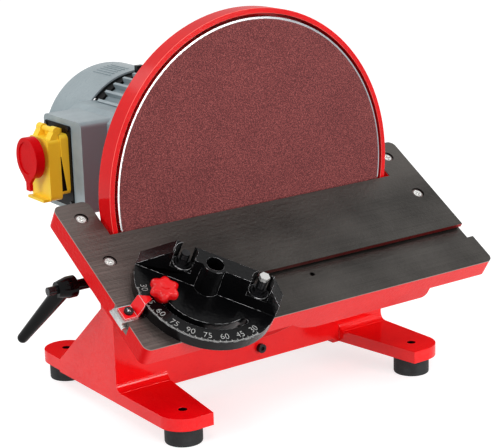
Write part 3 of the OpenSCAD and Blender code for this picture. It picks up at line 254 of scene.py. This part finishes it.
def plasticFinish(name, light, deep, rough=0.4, specular=0.45, coat=0.0, front=None, shadedRecess=None):
    material, shader, start = startFinish(name)
    place = objectPlace(start)
    flow = grain(start, place, plasticLook["flowScale"])
    spark = grain(start, place, plasticLook["sparkScale"], detail=2)
    colour = mixColour(spread(flow, plasticLook["flowFrom"], plasticLook["flowTo"]), rgb(*deep), rgb(*light))
    if front:  # painted shade: darker on the faces that look to the front
        ahead = spread(facing(start, (0, -1, 0)), plasticLook["frontShadeFrom"], plasticLook["frontShadeTo"])
        colour = mixColour(ahead, colour, rgb(*front))
    if shadedRecess:  # painted shade: a dark hollow between two corners
        sides = []
        for direction, low, high in shadedRecess["limits"]:
            spot = along(start, place, direction)
            sides.append((spot > low) * (spot < high))
        colour = mixColour(math.prod(sides[1:], start=sides[0]), colour, rgb(*shadedRecess["colour"]))
    feed(shader, start, {"Base Color": colour, "Roughness": uneven(spark, rough, plasticLook["uneven"]),
                         "Normal": bump(start, spark, plasticLook["sparkStrength"], plasticLook["sparkHeight"]),
                         "Specular IOR Level": specular, "Coat Weight": coat,
                         "Coat Roughness": plasticLook["coatRoughness"]})
    return material


# bare and plated metals: fine turning or rolling lines with a few dull patches
metalLook = {"lineScale": 2600, "lineStrength": 0.3, "lineHeight": 0.00002, "patchScale": 70, "lineShare": 0.5,
             "toneFrom": 0.36, "toneTo": 0.64, "uneven": (0.07, 0.1), "stretch": (1, 1, 0.06)}


def metalFinish(name, light, deep, rough=0.3, metallic=1.0, stretch=metalLook["stretch"]):
    material, shader, start = startFinish(name)
    place = objectPlace(start)
    lines = grain(start, stretched(start, place, stretch), metalLook["lineScale"], detail=2)
    patch = grain(start, place, metalLook["patchScale"], detail=4)
    share = metalLook["lineShare"]
    tone = spread(lines * share + patch * (1 - share), metalLook["toneFrom"], metalLook["toneTo"])
    feed(shader, start, {"Base Color": mixColour(tone, rgb(*deep), rgb(*light)), "Metallic": metallic,
                         "Roughness": uneven(patch, rough, metalLook["uneven"]),
                         "Normal": bump(start, lines, metalLook["lineStrength"], metalLook["lineHeight"])})
    return material


# rubber: matt, dusty in its pores
rubberLook = {"light": (46, 48, 49), "dark": (26, 27, 28), "dustScale": 60, "dustFrom": 0.35, "dustTo": 0.7,
              "poreScale": 900, "poreStrength": 0.4, "poreHeight": 0.00008, "rough": (0.62, 0.8), "specular": 0.3}


def rubberFinish(name, look):
    material, shader, start = startFinish(name)
    place = objectPlace(start)
    pores = grain(start, place, look["poreScale"])
    dust = spread(grain(start, place, look["dustScale"], detail=4), look["dustFrom"], look["dustTo"])
    feed(shader, start, {"Base Color": mixColour(dust, rgb(*look["dark"]), rgb(*look["light"])),
                         "Roughness": spread(pores, *noiseSpan, *look["rough"]),
                         "Normal": bump(start, pores, look["poreStrength"], look["poreHeight"]),
                         "Specular IOR Level": look["specular"]})
    return material


# coated abrasive: grains of a few tenths of a millimetre in a maroon bond
abrasiveLook = {"stops": [(0.4, (66, 15, 19)), (0.5, (102, 37, 38)), (0.62, (156, 82, 80))],
                "grainScale": 850, "fineScale": 1700, "grainShare": 0.65, "cloudScale": 22, "cloudShare": 0.06,
                "strength": 0.6, "height": 0.0003, "rough": (0.6, 0.85), "specular": 0.3}


def abrasiveFinish(name, look):
    material, shader, start = startFinish(name)
    place = objectPlace(start)
    coarse = grain(start, place, look["grainScale"], rough=0.7)
    fine = grain(start, place, look["fineScale"], detail=2)
    clouds = grain(start, place, look["cloudScale"])
    grit = coarse * look["grainShare"] + fine * (1 - look["grainShare"])
    stops = [(spot, rgb(*colour)) for spot, colour in look["stops"]]
    shade = grit + (clouds - 0.5) * look["cloudShare"]
    feed(shader, start, {"Base Color": start.node("ValToRGB", {"stops": stops}, {"Fac": shade}),
                         "Roughness": spread(fine, *noiseSpan, *look["rough"]),
                         "Normal": bump(start, grit, look["strength"], look["height"]),
                         "Specular IOR Level": look["specular"]})
    return material


# table: ground top and slot with lines along the table, bright corners as painted highlight, paint on skirt and
# underside
tableLook = {"light": (78, 75, 72), "dark": (49, 47, 45), "lineStretch": (12, 1000, 1000), "patchScale": 14,
             "lineShare": 0.32, "toneFrom": 0.32, "toneTo": 0.68, "rough": 0.36, "uneven": (0.08, 0.1),
             "metallic": 0.85, "specular": 0.05, "scratchStrength": 0.25, "scratchHeight": 0.00003,
             # painted reflection on the left wing and the strip along the back edge, painted highlight on the
             # corners, painted shade in the holes
             "wingReflection": (148, 130, 125), "wingFrom": -0.11, "wingTo": -0.19, "wingLeast": 0.2, "wingMost": 0.56,
             "stripReflection": (104, 99, 95), "stripTo": 0.03, "stripAmount": 0.36,
             "corner": (150, 132, 126), "cornerFrom": -0.00022, "paintFrom": -0.0011, "paintRough": 0.32,
             "leftShadedPaint": (216, 8, 14), "leftFrom": 0.3, "leftTo": 0.8, "frontCoat": 0.42, "leftCoat": 0.0,
             "slotFront": 0.089, "slotHalf": 0.0128, "slotFloor": -0.0128,
             "slotRed": (150, 24, 24), "redWall": 0.0804, "redFrom": -0.0042, "redLeft": -0.16, "redRight": 0.2,
             "holeShade": (38, 34, 33), "pinHole": (0.006, 0.091, 0.0028),
             "screwHoles": [(0.18, -0.0255, 0.0068), (-0.18, -0.0255, 0.0068),
                            (0.18, 0.029, 0.0068), (-0.18, 0.029, 0.0068)]}


def tableFinish(name, look, light, deep):
    material, shader, start = startFinish(name)
    place = objectPlace(start)
    right = along(start, place, tableRight)
    up = along(start, place, tableUp) - tableEdge.dot(tableUp)
    front = along(start, place, tableFront) - tableEdge.dot(tableFront)

    # where the iron is bare: top, slot and holes
    fromSlot = start.maths("ABSOLUTE", front - look["slotFront"], 0)
    inSlot = (fromSlot < look["slotHalf"]) * (up > look["slotFloor"]) * (up < look["cornerFrom"])
    ground = start.maths("MAXIMUM", up > look["paintFrom"], inSlot)
    corner = ground * (up < look["cornerFrom"]) * (1 - inSlot)
    holes = [look["pinHole"]] + look["screwHoles"]
    bores = [(onTable(across, ahead), tableUp, reach) for across, ahead, reach in holes]
    bored = boresMask(start, place, bores, tableUp, tableEdge.dot(tableUp) + look["cornerFrom"])
    ground = start.maths("MAXIMUM", ground, bored)
    corner = corner * (1 - bored)

    # iron: grinding lines, left wing and back edge paler as painted reflection, corners as painted highlight, holes
    # as painted shade, red along the slot's back wall
    lines = grain(start, stretched(start, place, look["lineStretch"]), 1.0, rough=0.6)
    patch = grain(start, place, look["patchScale"], detail=4)
    tone = spread(lines * look["lineShare"] + patch * (1 - look["lineShare"]), look["toneFrom"], look["toneTo"])
    iron = mixColour(tone, rgb(*look["dark"]), rgb(*look["light"]))
    wingReflection = spread(right, look["wingFrom"], look["wingTo"])
    wingReflection = wingReflection * spread(lines, *noiseSpan, look["wingLeast"], look["wingMost"])
    redWall = inSlot * (front < look["redWall"]) * (up > look["redFrom"])
    redWall = redWall * spread(right, look["redLeft"], look["redRight"])
    iron = mixColour(wingReflection, iron, rgb(*look["wingReflection"]))
    iron = mixColour(spread(front, look["stripTo"], 0, 0, look["stripAmount"]), iron, rgb(*look["stripReflection"]))
    iron = mixColour(corner, iron, rgb(*look["corner"]))
    iron = mixColour(bored, iron, rgb(*look["holeShade"]))
    iron = mixColour(redWall, iron, rgb(*look["slotRed"]))

    # paint: duller, and deeper red as painted shade, on the faces that look left
    colour, roughness, normal = paintNodes(start, place, light, deep, look["paintRough"])
    left = spread(facing(start, (-1, 0, 0)), look["leftFrom"], look["leftTo"])
    colour = mixColour(left, colour, rgb(*look["leftShadedPaint"]))
    coat = spread(left, 0, 1, look["frontCoat"], look["leftCoat"])
    rough = ground * uneven(lines, look["rough"], look["uneven"]) + (1 - ground) * roughness
    scratches = bump(start, lines * ground, look["scratchStrength"], look["scratchHeight"], normal)
    feed(shader, start, {"Base Color": mixColour(ground, colour, iron), "Roughness": rough, "Normal": scratches,
                         "Metallic": ground * look["metallic"], "Specular IOR Level": look["specular"],
                         "Coat Weight": (1 - ground) * coat * mottle(start, place),
                         "Coat Roughness": paintLook["coatRoughness"]})
    return material


# table screws: painted highlight on the crown, in a dull rim of painted shade
screwLook = {"crownHighlight": (222, 222, 220), "rim": (112, 98, 95), "crownReach": 0.0042, "rough": 0.26,
             "metallic": 0.9, "top": 1}  # top is above all the screws


def screwFinish(name, look):
    material, shader, start = startFinish(name)
    crowns = [(onTable(across, ahead), tableUp, look["crownReach"]) for across, ahead, _ in tableLook["screwHoles"]]
    crownHighlight = boresMask(start, objectPlace(start), crowns, tableUp, look["top"])
    feed(shader, start, {"Base Color": mixColour(crownHighlight, rgb(*look["rim"]), rgb(*look["crownHighlight"])),
                         "Metallic": look["metallic"], "Roughness": look["rough"]})
    return material


# disc: turned rim, with painted highlight that dulls to painted shade towards its upper right
rimLook = {"light": (238, 238, 238), "dark": (138, 138, 142), "towards": (0.8, 0, 0.6), "from": 0.14, "to": 0.25,
           "stretch": (1, 0.06, 1), "rough": 0.24, "uneven": (0.05, 0.08)}


def rimFinish(name, look):
    material, shader, start = startFinish(name)
    place = objectPlace(start)
    lines = grain(start, stretched(start, place, look["stretch"]), metalLook["lineScale"], detail=2)
    shadedSide = spread(along(start, place, look["towards"]), look["from"], look["to"])
    feed(shader, start, {"Base Color": mixColour(shadedSide, rgb(*look["light"]), rgb(*look["dark"])), "Metallic": 1.0,
                         "Roughness": uneven(lines, look["rough"], look["uneven"])})
    return material


# fence posts: black, with a bare hexagon on the tall one
postLook = {"bareFrom": 0.0393, "bare": (206, 206, 204), "black": (40, 40, 42), "deep": (14, 14, 16),
            "metallic": 0.6, "bareMetallic": 0.2, "rough": (0.2, 0.34)}


def postFinish(name, look):
    material, shader, start = startFinish(name)
    place = objectPlace(start)
    bare = along(start, place, tableUp) - tableEdge.dot(tableUp) > look["bareFrom"]
    patch = grain(start, place, metalLook["patchScale"], detail=4)
    tone = mixColour(spread(patch, *noiseSpan), rgb(*look["deep"]), rgb(*look["black"]))
    feed(shader, start, {"Base Color": mixColour(bare, tone, rgb(*look["bare"])),
                         "Metallic": look["metallic"] + bare * look["bareMetallic"],
                         "Roughness": spread(patch, *noiseSpan, *look["rough"])})
    return material


# black enamel with painted highlights on its edges, partly real wear where it is rubbed through here and there
wornGlintLook = {"bright": (226, 226, 228), "dark": (18, 18, 19), "scale": 190, "from": 0.44, "to": 0.56, "rough": 0.3,
            "metallic": 0.3}


def wornFinish(name, look):
    material, shader, start = startFinish(name)
    patch = spread(grain(start, objectPlace(start), look["scale"]), look["from"], look["to"])
    feed(shader, start, {"Base Color": mixColour(patch, rgb(*look["dark"]), rgb(*look["bright"])),
                         "Roughness": look["rough"], "Metallic": look["metallic"]})
    return material


# colours that several finishes share
redPaint = {"light": (252, 26, 26), "deep": (240, 8, 18)}
# the housing's red is a darker copy of the red paint, as painted shade
housingShadedRed = {"light": (224, 20, 22), "deep": (210, 8, 16)}
greyEnamel = {"light": (150, 164, 169), "deep": (134, 148, 154)}
cowlGrey = {"light": (142, 156, 161), "deep": (128, 142, 148)}
leverBlack = {"light": (8, 8, 9), "deep": (4, 4, 5), "rough": 0.12, "specular": 0.12}
# the front colour of the yellow is painted shade on the faces that look to the front
switchYellow = {"light": (255, 222, 64), "deep": (252, 210, 52), "rough": 0.34, "specular": 0.15, "coat": 0.05,
                "front": (250, 204, 48)}

# painted shade in the holes in the base's feet and in the hollow behind the flap
footBase = {"bores": [((x, y, 0), (0, 0, 1), 0.0047) for x in (-0.136, 0.136) for y in (-0.105, 0.105)],
            "axis": (0, 0, 1), "top": 0.0297, "colour": (30, 14, 14),
            "topCoat": 0.04, "dullFrom": 0.4, "dullTo": 0.9}
switchRecessShade = {"colour": (26, 14, 8), "limits": [((0, 1, 0), 0.1123, 0.1156), ((0, 0, 1), 0.187, 0.222),
                                                  ((-1, 0, 0), 0.1201, 0.13)]}

# a finish for each material slot that the nodes below leave in use
finishes = {
    "red_paint": paintFinish("redPaint", **redPaint, base=footBase),
    "rubber": rubberFinish("rubberFoot", rubberLook),
    "black_screw": metalFinish("blackScrew", (44, 44, 46), (16, 16, 18), rough=0.24, metallic=0.6),
    "zinc_screw": metalFinish("zincScrew", (214, 214, 210), (150, 150, 148), rough=0.28),
    "abrasive": abrasiveFinish("abrasiveGrit", abrasiveLook),
    "steel": metalFinish("groundSteel", (206, 206, 204), (150, 150, 150), rough=0.26),
    "rotor_metal": metalFinish("rotorMetal", (176, 176, 180), (120, 120, 124), rough=0.4),
    "black_plastic": plasticFinish("blackPlastic", (34, 34, 36), (20, 20, 22), rough=0.42, specular=0.35),
    "motor_grey": paintFinish("motorEnamel", **greyEnamel, rough=0.4, specular=0.45, coat=0.15),
    "core_steel": metalFinish("coreSteel", (150, 150, 152), (100, 100, 102), rough=0.42, stretch=(1, 30, 1)),
    "copper": metalFinish("windingCopper", (184, 104, 62), (120, 62, 36), rough=0.35, metallic=0.9,
                          stretch=(1, 1, 40)),
    # the front colour of the grey is painted shade on the faces that look to the front
    "grey_plastic": plasticFinish("greyPlastic", **greyEnamel, rough=0.36, specular=0.3, coat=0.05,
                                  front=(122, 120, 125)),
    "yellow_plastic": plasticFinish("yellowPlastic", **switchYellow),
    "red_plastic": plasticFinish("redPlastic", (216, 8, 16), (202, 4, 12), rough=0.3, specular=0.03),
    "green_plastic": plasticFinish("greenPlastic", (40, 160, 70), (26, 132, 54), rough=0.32, specular=0.5,
                                   coat=0.2),
    "table_iron": tableFinish("tableIron", tableLook, **redPaint),
    "black_paint": paintFinish("blackEnamel", (12, 12, 13), (5, 5, 6), rough=0.1, specular=0.16, coat=0.0),
    "pointer_red": paintFinish("pointerPaint", (246, 26, 34), (232, 12, 22), rough=0.3),
}

# nodes that look different from their slot
ownFinishes = {
    "table_screws": screwFinish("tableScrew", screwLook),
    "disc_housing": paintFinish("housingShadedPaint", **housingShadedRed, coat=0.36),
    "lever_handle": plasticFinish("leverGloss", **leverBlack),
    "lever_bush": plasticFinish("bushGloss", **leverBlack),
    "switch_panel": plasticFinish("panelBlack", (12, 12, 13), (7, 7, 8), rough=0.5, specular=0.12),
    "rear_end_shield": plasticFinish("darkShield", (9, 9, 10), (5, 5, 6), rough=0.6, specular=0.1),
    "cowl_plug": plasticFinish("plugBlack", (10, 10, 11), (5, 5, 6), rough=0.3, specular=0.2),
    "switch_base": plasticFinish("switchYellow", **switchYellow, shadedRecess=switchRecessShade),
    "sanding_disc": rimFinish("discRim", rimLook),
    "fan_cowl": paintFinish("cowlEnamel", **cowlGrey, rough=0.4, specular=0.45, coat=0.15),
    "fence_posts": postFinish("postFinish", postLook),
    "flap_pin": finishes["yellow_plastic"],
    "cowl_screws": finishes["black_screw"],
    "panel_screws": finishes["black_screw"],
}
scalePaint = paintFinish("scalePaint", (236, 236, 234), (214, 214, 212), rough=0.45, specular=0.4, coat=0.0)
knobPlastic = plasticFinish("knobPlastic", (222, 8, 16), (206, 4, 10), rough=0.2, specular=0.3, coat=0.05)
wornGlintEdge = wornFinish("wornGlintEdge", wornGlintLook)
glintEdge = paintFinish("glintEdge", (255, 120, 110), (250, 92, 84), rough=0.2)
brightEdge = metalFinish("brightEdge", (226, 226, 226), (180, 180, 182), rough=0.25)
print("finishes made:", len(finishes) + len(ownFinishes))


# rounded edges on the CAD solids, in millimetres, and what shows on the edge
edgeLook = {"weld": 0.06, "flatAngle": 0.6, "sharpAngle": 34, "segments": 2, "plain": 0.3}
edgeWidths = {"base_casting": 1.6, "disc_housing": 0.9, "table": 0.5, "left_trunnion": 1.0, "right_trunnion": 1.0,
              "motor_frame": 0.8, "front_end_shield": 1.0, "switch_box": 2.0, "switch_flap": 2.0, "switch_base": 1.0,
              "stop_button": 1.4, "start_button": 0.8, "off_button": 0.8, "mitre_head": 0.9, "mitre_pointer": 0.3,
              "rubber_feet": 1.2, "dust_port": 0.6, "sanding_disc": 0.5, "abrasive_sheet": 0.15,
              "cable_gland": 0.6, "switch_panel": 0.4, "fan_cowl": 0.5, "lever_handle": 0.8}
# painted highlights on the edges of the mitre head, the washers and the disc housing, and bright edges on the
# pointer
edgeFinishes = {"mitre_head": wornGlintEdge, "mitre_pointer": brightEdge, "disc_housing": glintEdge,
                "fence_washers": wornGlintEdge}


def softenEdges(piece, width, edgeFinish=None):
    weld = piece.modifiers.new("weld", "WELD")
    weld.merge_threshold = edgeLook["weld"] * millimetre
    flat = piece.modifiers.new("flat", "DECIMATE")
    flat.decimate_type = "DISSOLVE"
    flat.angle_limit = math.radians(edgeLook["flatAngle"])
    rounding = piece.modifiers.new("round", "BEVEL")
    rounding.width = width * millimetre
    rounding.segments = edgeLook["segments"]
    rounding.limit_method = "ANGLE"
    rounding.angle_limit = math.radians(edgeLook["sharpAngle"])
    rounding.use_clamp_overlap = True
    if edgeFinish is not None:
        piece.data.materials.append(edgeFinish)
        rounding.material = 1
    shade = piece.modifiers.new("shade", "WEIGHTED_NORMAL")
    shade.keep_sharp = True


for subpart in frame["record"]["subparts"]:
    node = subpart["node"]
    finish = ownFinishes[node] if node in ownFinishes else finishes[subpart["material_slot"]]
    nodes[node].data.materials.clear()
    nodes[node].data.materials.append(finish)
    softenEdges(nodes[node], edgeWidths.get(node, edgeLook["plain"]), edgeFinishes.get(node))


def newPiece(name, mesh, finish, body, replaced=()):
    mesh.materials.append(finish)
    piece = bpy.data.objects.new(name, mesh)
    bpy.context.scene.collection.objects.link(piece)
    for face in mesh.polygons:
        face.use_smooth = True
    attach(piece, body)
    if replaced:
        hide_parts(*replaced)


def meshFrom(name, work):
    made = bpy.data.meshes.new(name)
    work.to_mesh(made)
    work.free()
    return made


def ringMesh(name, rings, place):  # rings of points from the bottom up, closed at both ends
    work = bmesh.new()
    rows = [[work.verts.new(place @ Vector(point)) for point in ring] for ring in rings]
    count = len(rows[0])
    for low, high in zip(rows, rows[1:]):
        for i in range(count):
            j = (i + 1) % count
            work.faces.new((low[i], low[j], high[j], high[i]))
    work.faces.new(list(reversed(rows[0])))
    work.faces.new(rows[-1])
    bmesh.ops.recalc_face_normals(work, faces=work.faces)
    return meshFrom(name, work)


# star knob with soft lobes and a dished crown, on the CAD knob's own place
knobLook = {"along": -0.047, "bottom": 0.01055, "middle": 0.0119, "swing": 0.0016, "lobes": 6, "boss": 0.007,
            "bossTop": 0.0054, "steps": 96, "roundTo": 0.3,
            "profile": [(0.0056, 0.72), (0.0062, 0.88), (0.0074, 0.97), (0.009, 1.0), (0.0116, 1.0), (0.0134, 0.96),
                        (0.0145, 0.88), (0.0152, 0.76), (0.0155, 0.6), (0.0155, 0.46), (0.0152, 0.36),
                        (0.0148, 0.26), (0.0147, 0.1)]}


def starKnob(look):
    turns = [2 * math.pi * i / look["steps"] for i in range(look["steps"])]
    rings = []
    for height in (0.0, look["bossTop"]):
        rings.append([(look["boss"] * math.cos(t), look["boss"] * math.sin(t), height) for t in turns])
    for height, share in look["profile"]:
        wave = max(0.0, (share - look["roundTo"]) / (1 - look["roundTo"]))  # lobes fade towards the middle
        ring = []
        for t in turns:
            reach = share * (look["middle"] + look["swing"] * wave * math.cos(look["lobes"] * t))
            ring.append((reach * math.cos(t), reach * math.sin(t), height))
        rings.append(ring)
    place = barFrame @ Matrix.Translation((look["along"], 0, look["bottom"]))
    return ringMesh("starKnob", rings, place)


newPiece("starKnob", starKnob(knobLook), knobPlastic, "mitre_knob", ["mitre_knob"])
print("star knob made")


# mitre scale: a tick for each degree, longer each fifth, and the plain numbers
scaleLook = {"top": 0.0103, "thick": 0.00012, "rim": 0.0645, "short": 0.0631, "long": 0.0619, "longEach": 5,
             "reach": 60, "middle": -90, "tickWidth": 0.00034,
             "numbers": [30, 45, 60, 75, 90, 75, 60, 45, 30], "step": 15, "numberRadius": 0.0607,
             "numberSize": 0.0086, "numberThin": -0.00026, "numberSteps": 4}


def scaleTicks(look):
    work = bmesh.new()
    for degree in range(-look["reach"], look["reach"] + 1):
        inner = look["long"] if degree % look["longEach"] == 0 else look["short"]
        place = Matrix.Translation(((inner + look["rim"]) / 2, 0, look["top"] + look["thick"] / 2))
        size = Matrix.Diagonal((look["rim"] - inner, look["tickWidth"], look["thick"], 1))
        bmesh.ops.create_cube(work, size=1, matrix=headFrame @ turned(degree + look["middle"]) @ place @ size)
    return meshFrom("scaleTicks", work)


def scaleNumbers(look):
    work = bmesh.new()
    for i, number in enumerate(look["numbers"]):
        degree = (i - (len(look["numbers"]) - 1) / 2) * look["step"]
        curve = bpy.data.curves.new("number", "FONT")
        curve.body = str(number)
        curve.size = look["numberSize"]
        curve.offset = look["numberThin"]
        curve.extrude = look["thick"] / 2
        curve.align_x = "CENTER"
        curve.align_y = "BOTTOM_BASELINE"
        curve.resolution_u = look["numberSteps"]
        words = bpy.data.objects.new("number", curve)
        bpy.context.scene.collection.objects.link(words)
        bpy.context.view_layer.update()
        flat = bpy.data.meshes.new_from_object(words.evaluated_get(bpy.context.evaluated_depsgraph_get()))
        place = Matrix.Translation((0, -look["numberRadius"], look["top"] + look["thick"] / 2))
        flat.transform(headFrame @ turned(degree) @ place)
        work.from_mesh(flat)
        bpy.data.objects.remove(words)
        bpy.data.curves.remove(curve)
        bpy.data.meshes.remove(flat)
    return meshFrom("scaleNumbers", work)


newPiece("scaleTicks", scaleTicks(scaleLook), scalePaint, "mitre_head")
newPiece("scaleNumbers", scaleNumbers(scaleLook), scalePaint, "mitre_head")
print("scale drawn")


# painted highlight: a bright cross in the head of the pointer's screw, standing in for its glints
crossLook = {"along": -0.0775, "top": 0.004, "long": 0.0042, "wide": 0.0008, "thick": 0.0001, "turns": (25, 115)}


def screwCross(look):
    work = bmesh.new()
    place = barFrame @ Matrix.Translation((look["along"], 0, look["top"]))
    size = Matrix.Diagonal((look["long"], look["wide"], look["thick"], 1))
    for turn in look["turns"]:
        bmesh.ops.create_cube(work, size=1, matrix=place @ turned(turn) @ size)
    return meshFrom("pointerCross", work)


newPiece("pointerCross", screwCross(crossLook), brightEdge, "mitre_slide")
print("screw crossed")


# rolled threads on the bare ends of the fence posts
threadLook = {"steps": 20, "pitch": 0.00125, "height": 0.00022, "sink": -0.00015, "fadeSteps": 8,
              "rises": (0.08, 0.5, 0.92), "radius": 0.004}
postEnds = [{"name": "leftPostThread", "at": (-0.027, 0.0032), "low": 0.0292, "high": 0.0356},
            {"name": "rightPostThread", "at": (0.0435, 0.0032), "low": 0.0292, "high": 0.039}]


def threadMesh(look, end):
    place = headFrame @ Matrix.Translation((*end["at"], 0))
    total = int((end["high"] - end["low"] - look["pitch"]) / look["pitch"] * look["steps"])
    work = bmesh.new()
    rows = []
    for i in range(total + 1):
        turn = 2 * math.pi * i / look["steps"]
        height = end["low"] + look["pitch"] * i / look["steps"]
        fade = min(1.0, i / look["fadeSteps"], (total - i) / look["fadeSteps"])
        row = []
        for rise, out in zip(look["rises"], (look["sink"], look["height"] * fade, look["sink"])):
            reach = look["radius"] + out
            point = Vector((reach * math.cos(turn), reach * math.sin(turn), height + rise * look["pitch"]))
            row.append(work.verts.new(place @ point))
        rows.append(row)
    for low, high in zip(rows, rows[1:]):
        for k in range(len(low)):
            j = (k + 1) % len(low)
            work.faces.new((low[k], low[j], high[j], high[k]))
    work.faces.new(rows[0])
    work.faces.new(list(reversed(rows[-1])))
    bmesh.ops.recalc_face_normals(work, faces=work.faces)
    return meshFrom(end["name"], work)


for end in postEnds:
    newPiece(end["name"], threadMesh(threadLook, end), finishes["black_screw"], "mitre_head")
print("threads rolled")


# camera fitted to the photograph's frame of 497 by 448
cameraLook = {"place": (-0.8373, -1.1974, 0.5595), "azimuth": -35.5, "elevation": 15.5, "roll": -1.6,
              "lens": 112.7, "sensor": 36, "clip": 0.05}


def addCamera(look):
    azimuth, elevation, roll = (math.radians(look[key]) for key in ("azimuth", "elevation", "roll"))
    back = Vector((math.sin(azimuth) * math.cos(elevation), -math.cos(azimuth) * math.cos(elevation),
                   math.sin(elevation)))
    right = Vector((math.cos(azimuth), math.sin(azimuth), 0))
    up = back.cross(right)
    rolledRight = math.cos(roll) * right + math.sin(roll) * up
    rolledUp = math.cos(roll) * up - math.sin(roll) * right
    data = bpy.data.cameras.new("camera")
    data.lens = look["lens"]
    data.sensor_width = look["sensor"]
    data.sensor_fit = "HORIZONTAL"
    data.clip_start = look["clip"]
    camera = bpy.data.objects.new("camera", data)
    bpy.context.scene.collection.objects.link(camera)
    turn = Matrix((rolledRight, rolledUp, back)).transposed().to_4x4()
    camera.matrix_world = Matrix.Translation(look["place"]) @ turn
    bpy.context.scene.camera = camera


addCamera(cameraLook)
print("camera set")


# studio: pale floor, white surround and soft lamps
studioLook = {"floorSize": 24, "floorColour": (0.55, 0.55, 0.55, 1), "floorLift": 0.7, "ambient": 0.58,
              "white": (1, 1, 1, 1), "aim": (0, -0.02, 0.18),
              "lamps": [{"name": "key", "place": (-1.1, -1.7, 2.5), "size": 0.8, "power": 17},
                        {"name": "left", "place": (-2.4, -0.3, 0.9), "size": 1.2, "power": 18},
                        {"name": "front", "place": (0.9, -2.5, 0.45), "size": 1.2, "power": 36},
                        {"name": "right", "place": (1.7, -0.9, 1.5), "size": 1.2, "power": 8},
                        {"name": "back", "place": (-0.9, 1.8, 2.0), "size": 1.2, "power": 9}]}


def emptyTree(owner):
    owner.use_nodes = True
    owner.node_tree.nodes.clear()
    return Line(owner.node_tree)


def seenAsBackdrop(start):  # one where the camera, a mirror or glass looks at it
    rays = ("Is Camera Ray", "Is Glossy Ray", "Is Transmission Ray")
    camera, glossy, through = start.node("LightPath", {}, {}, out=rays)
    return start.maths("MAXIMUM", camera, start.maths("MAXIMUM", glossy, through))


def addFloor(look):
    half = look["floorSize"] / 2
    mesh = bpy.data.meshes.new("floor")
    mesh.from_pydata([(-half, -half, 0), (half, -half, 0), (half, half, 0), (-half, half, 0)], [], [(0, 1, 2, 3)])
    floor = bpy.data.objects.new("floor", mesh)
    bpy.context.scene.collection.objects.link(floor)
    material = bpy.data.materials.new("paleFloor")
    start = emptyTree(material)
    matt = start.node("BsdfDiffuse", {}, {"Color": look["floorColour"]})
    lift = start.node("Emission", {}, {"Color": look["white"], "Strength": look["floorLift"]})
    lifted = start.node("AddShader", {}, {0: matt, 1: lift})
    surface = start.node("MixShader", {}, {0: seenAsBackdrop(start), 1: matt, 2: lifted})
    start.node("OutputMaterial", {}, {"Surface": surface}, out=())
    mesh.materials.append(material)


def addSurround(look):
    world = bpy.data.worlds.new("studio")
    bpy.context.scene.world = world
    start = emptyTree(world)
    strength = look["ambient"] + seenAsBackdrop(start) * (1 - look["ambient"])
    light = start.node("Background", {}, {"Color": look["white"], "Strength": strength})
    start.node("OutputWorld", {}, {"Surface": light}, out=())


def addLamp(lamp, target):
    data = bpy.data.lights.new(lamp["name"], "AREA")
    data.energy = lamp["power"]
    data.size = lamp["size"]
    made = bpy.data.objects.new(lamp["name"], data)
    bpy.context.scene.collection.objects.link(made)
    made.location = lamp["place"]
    aim = Vector(target) - Vector(lamp["place"])
    made.rotation_euler = aim.to_track_quat("-Z", "Y").to_euler()


addFloor(studioLook)
addSurround(studioLook)
for lamp in studioLook["lamps"]:
    addLamp(lamp, studioLook["aim"])
bpy.context.scene.view_settings.view_transform = "Standard"
print("studio lit")
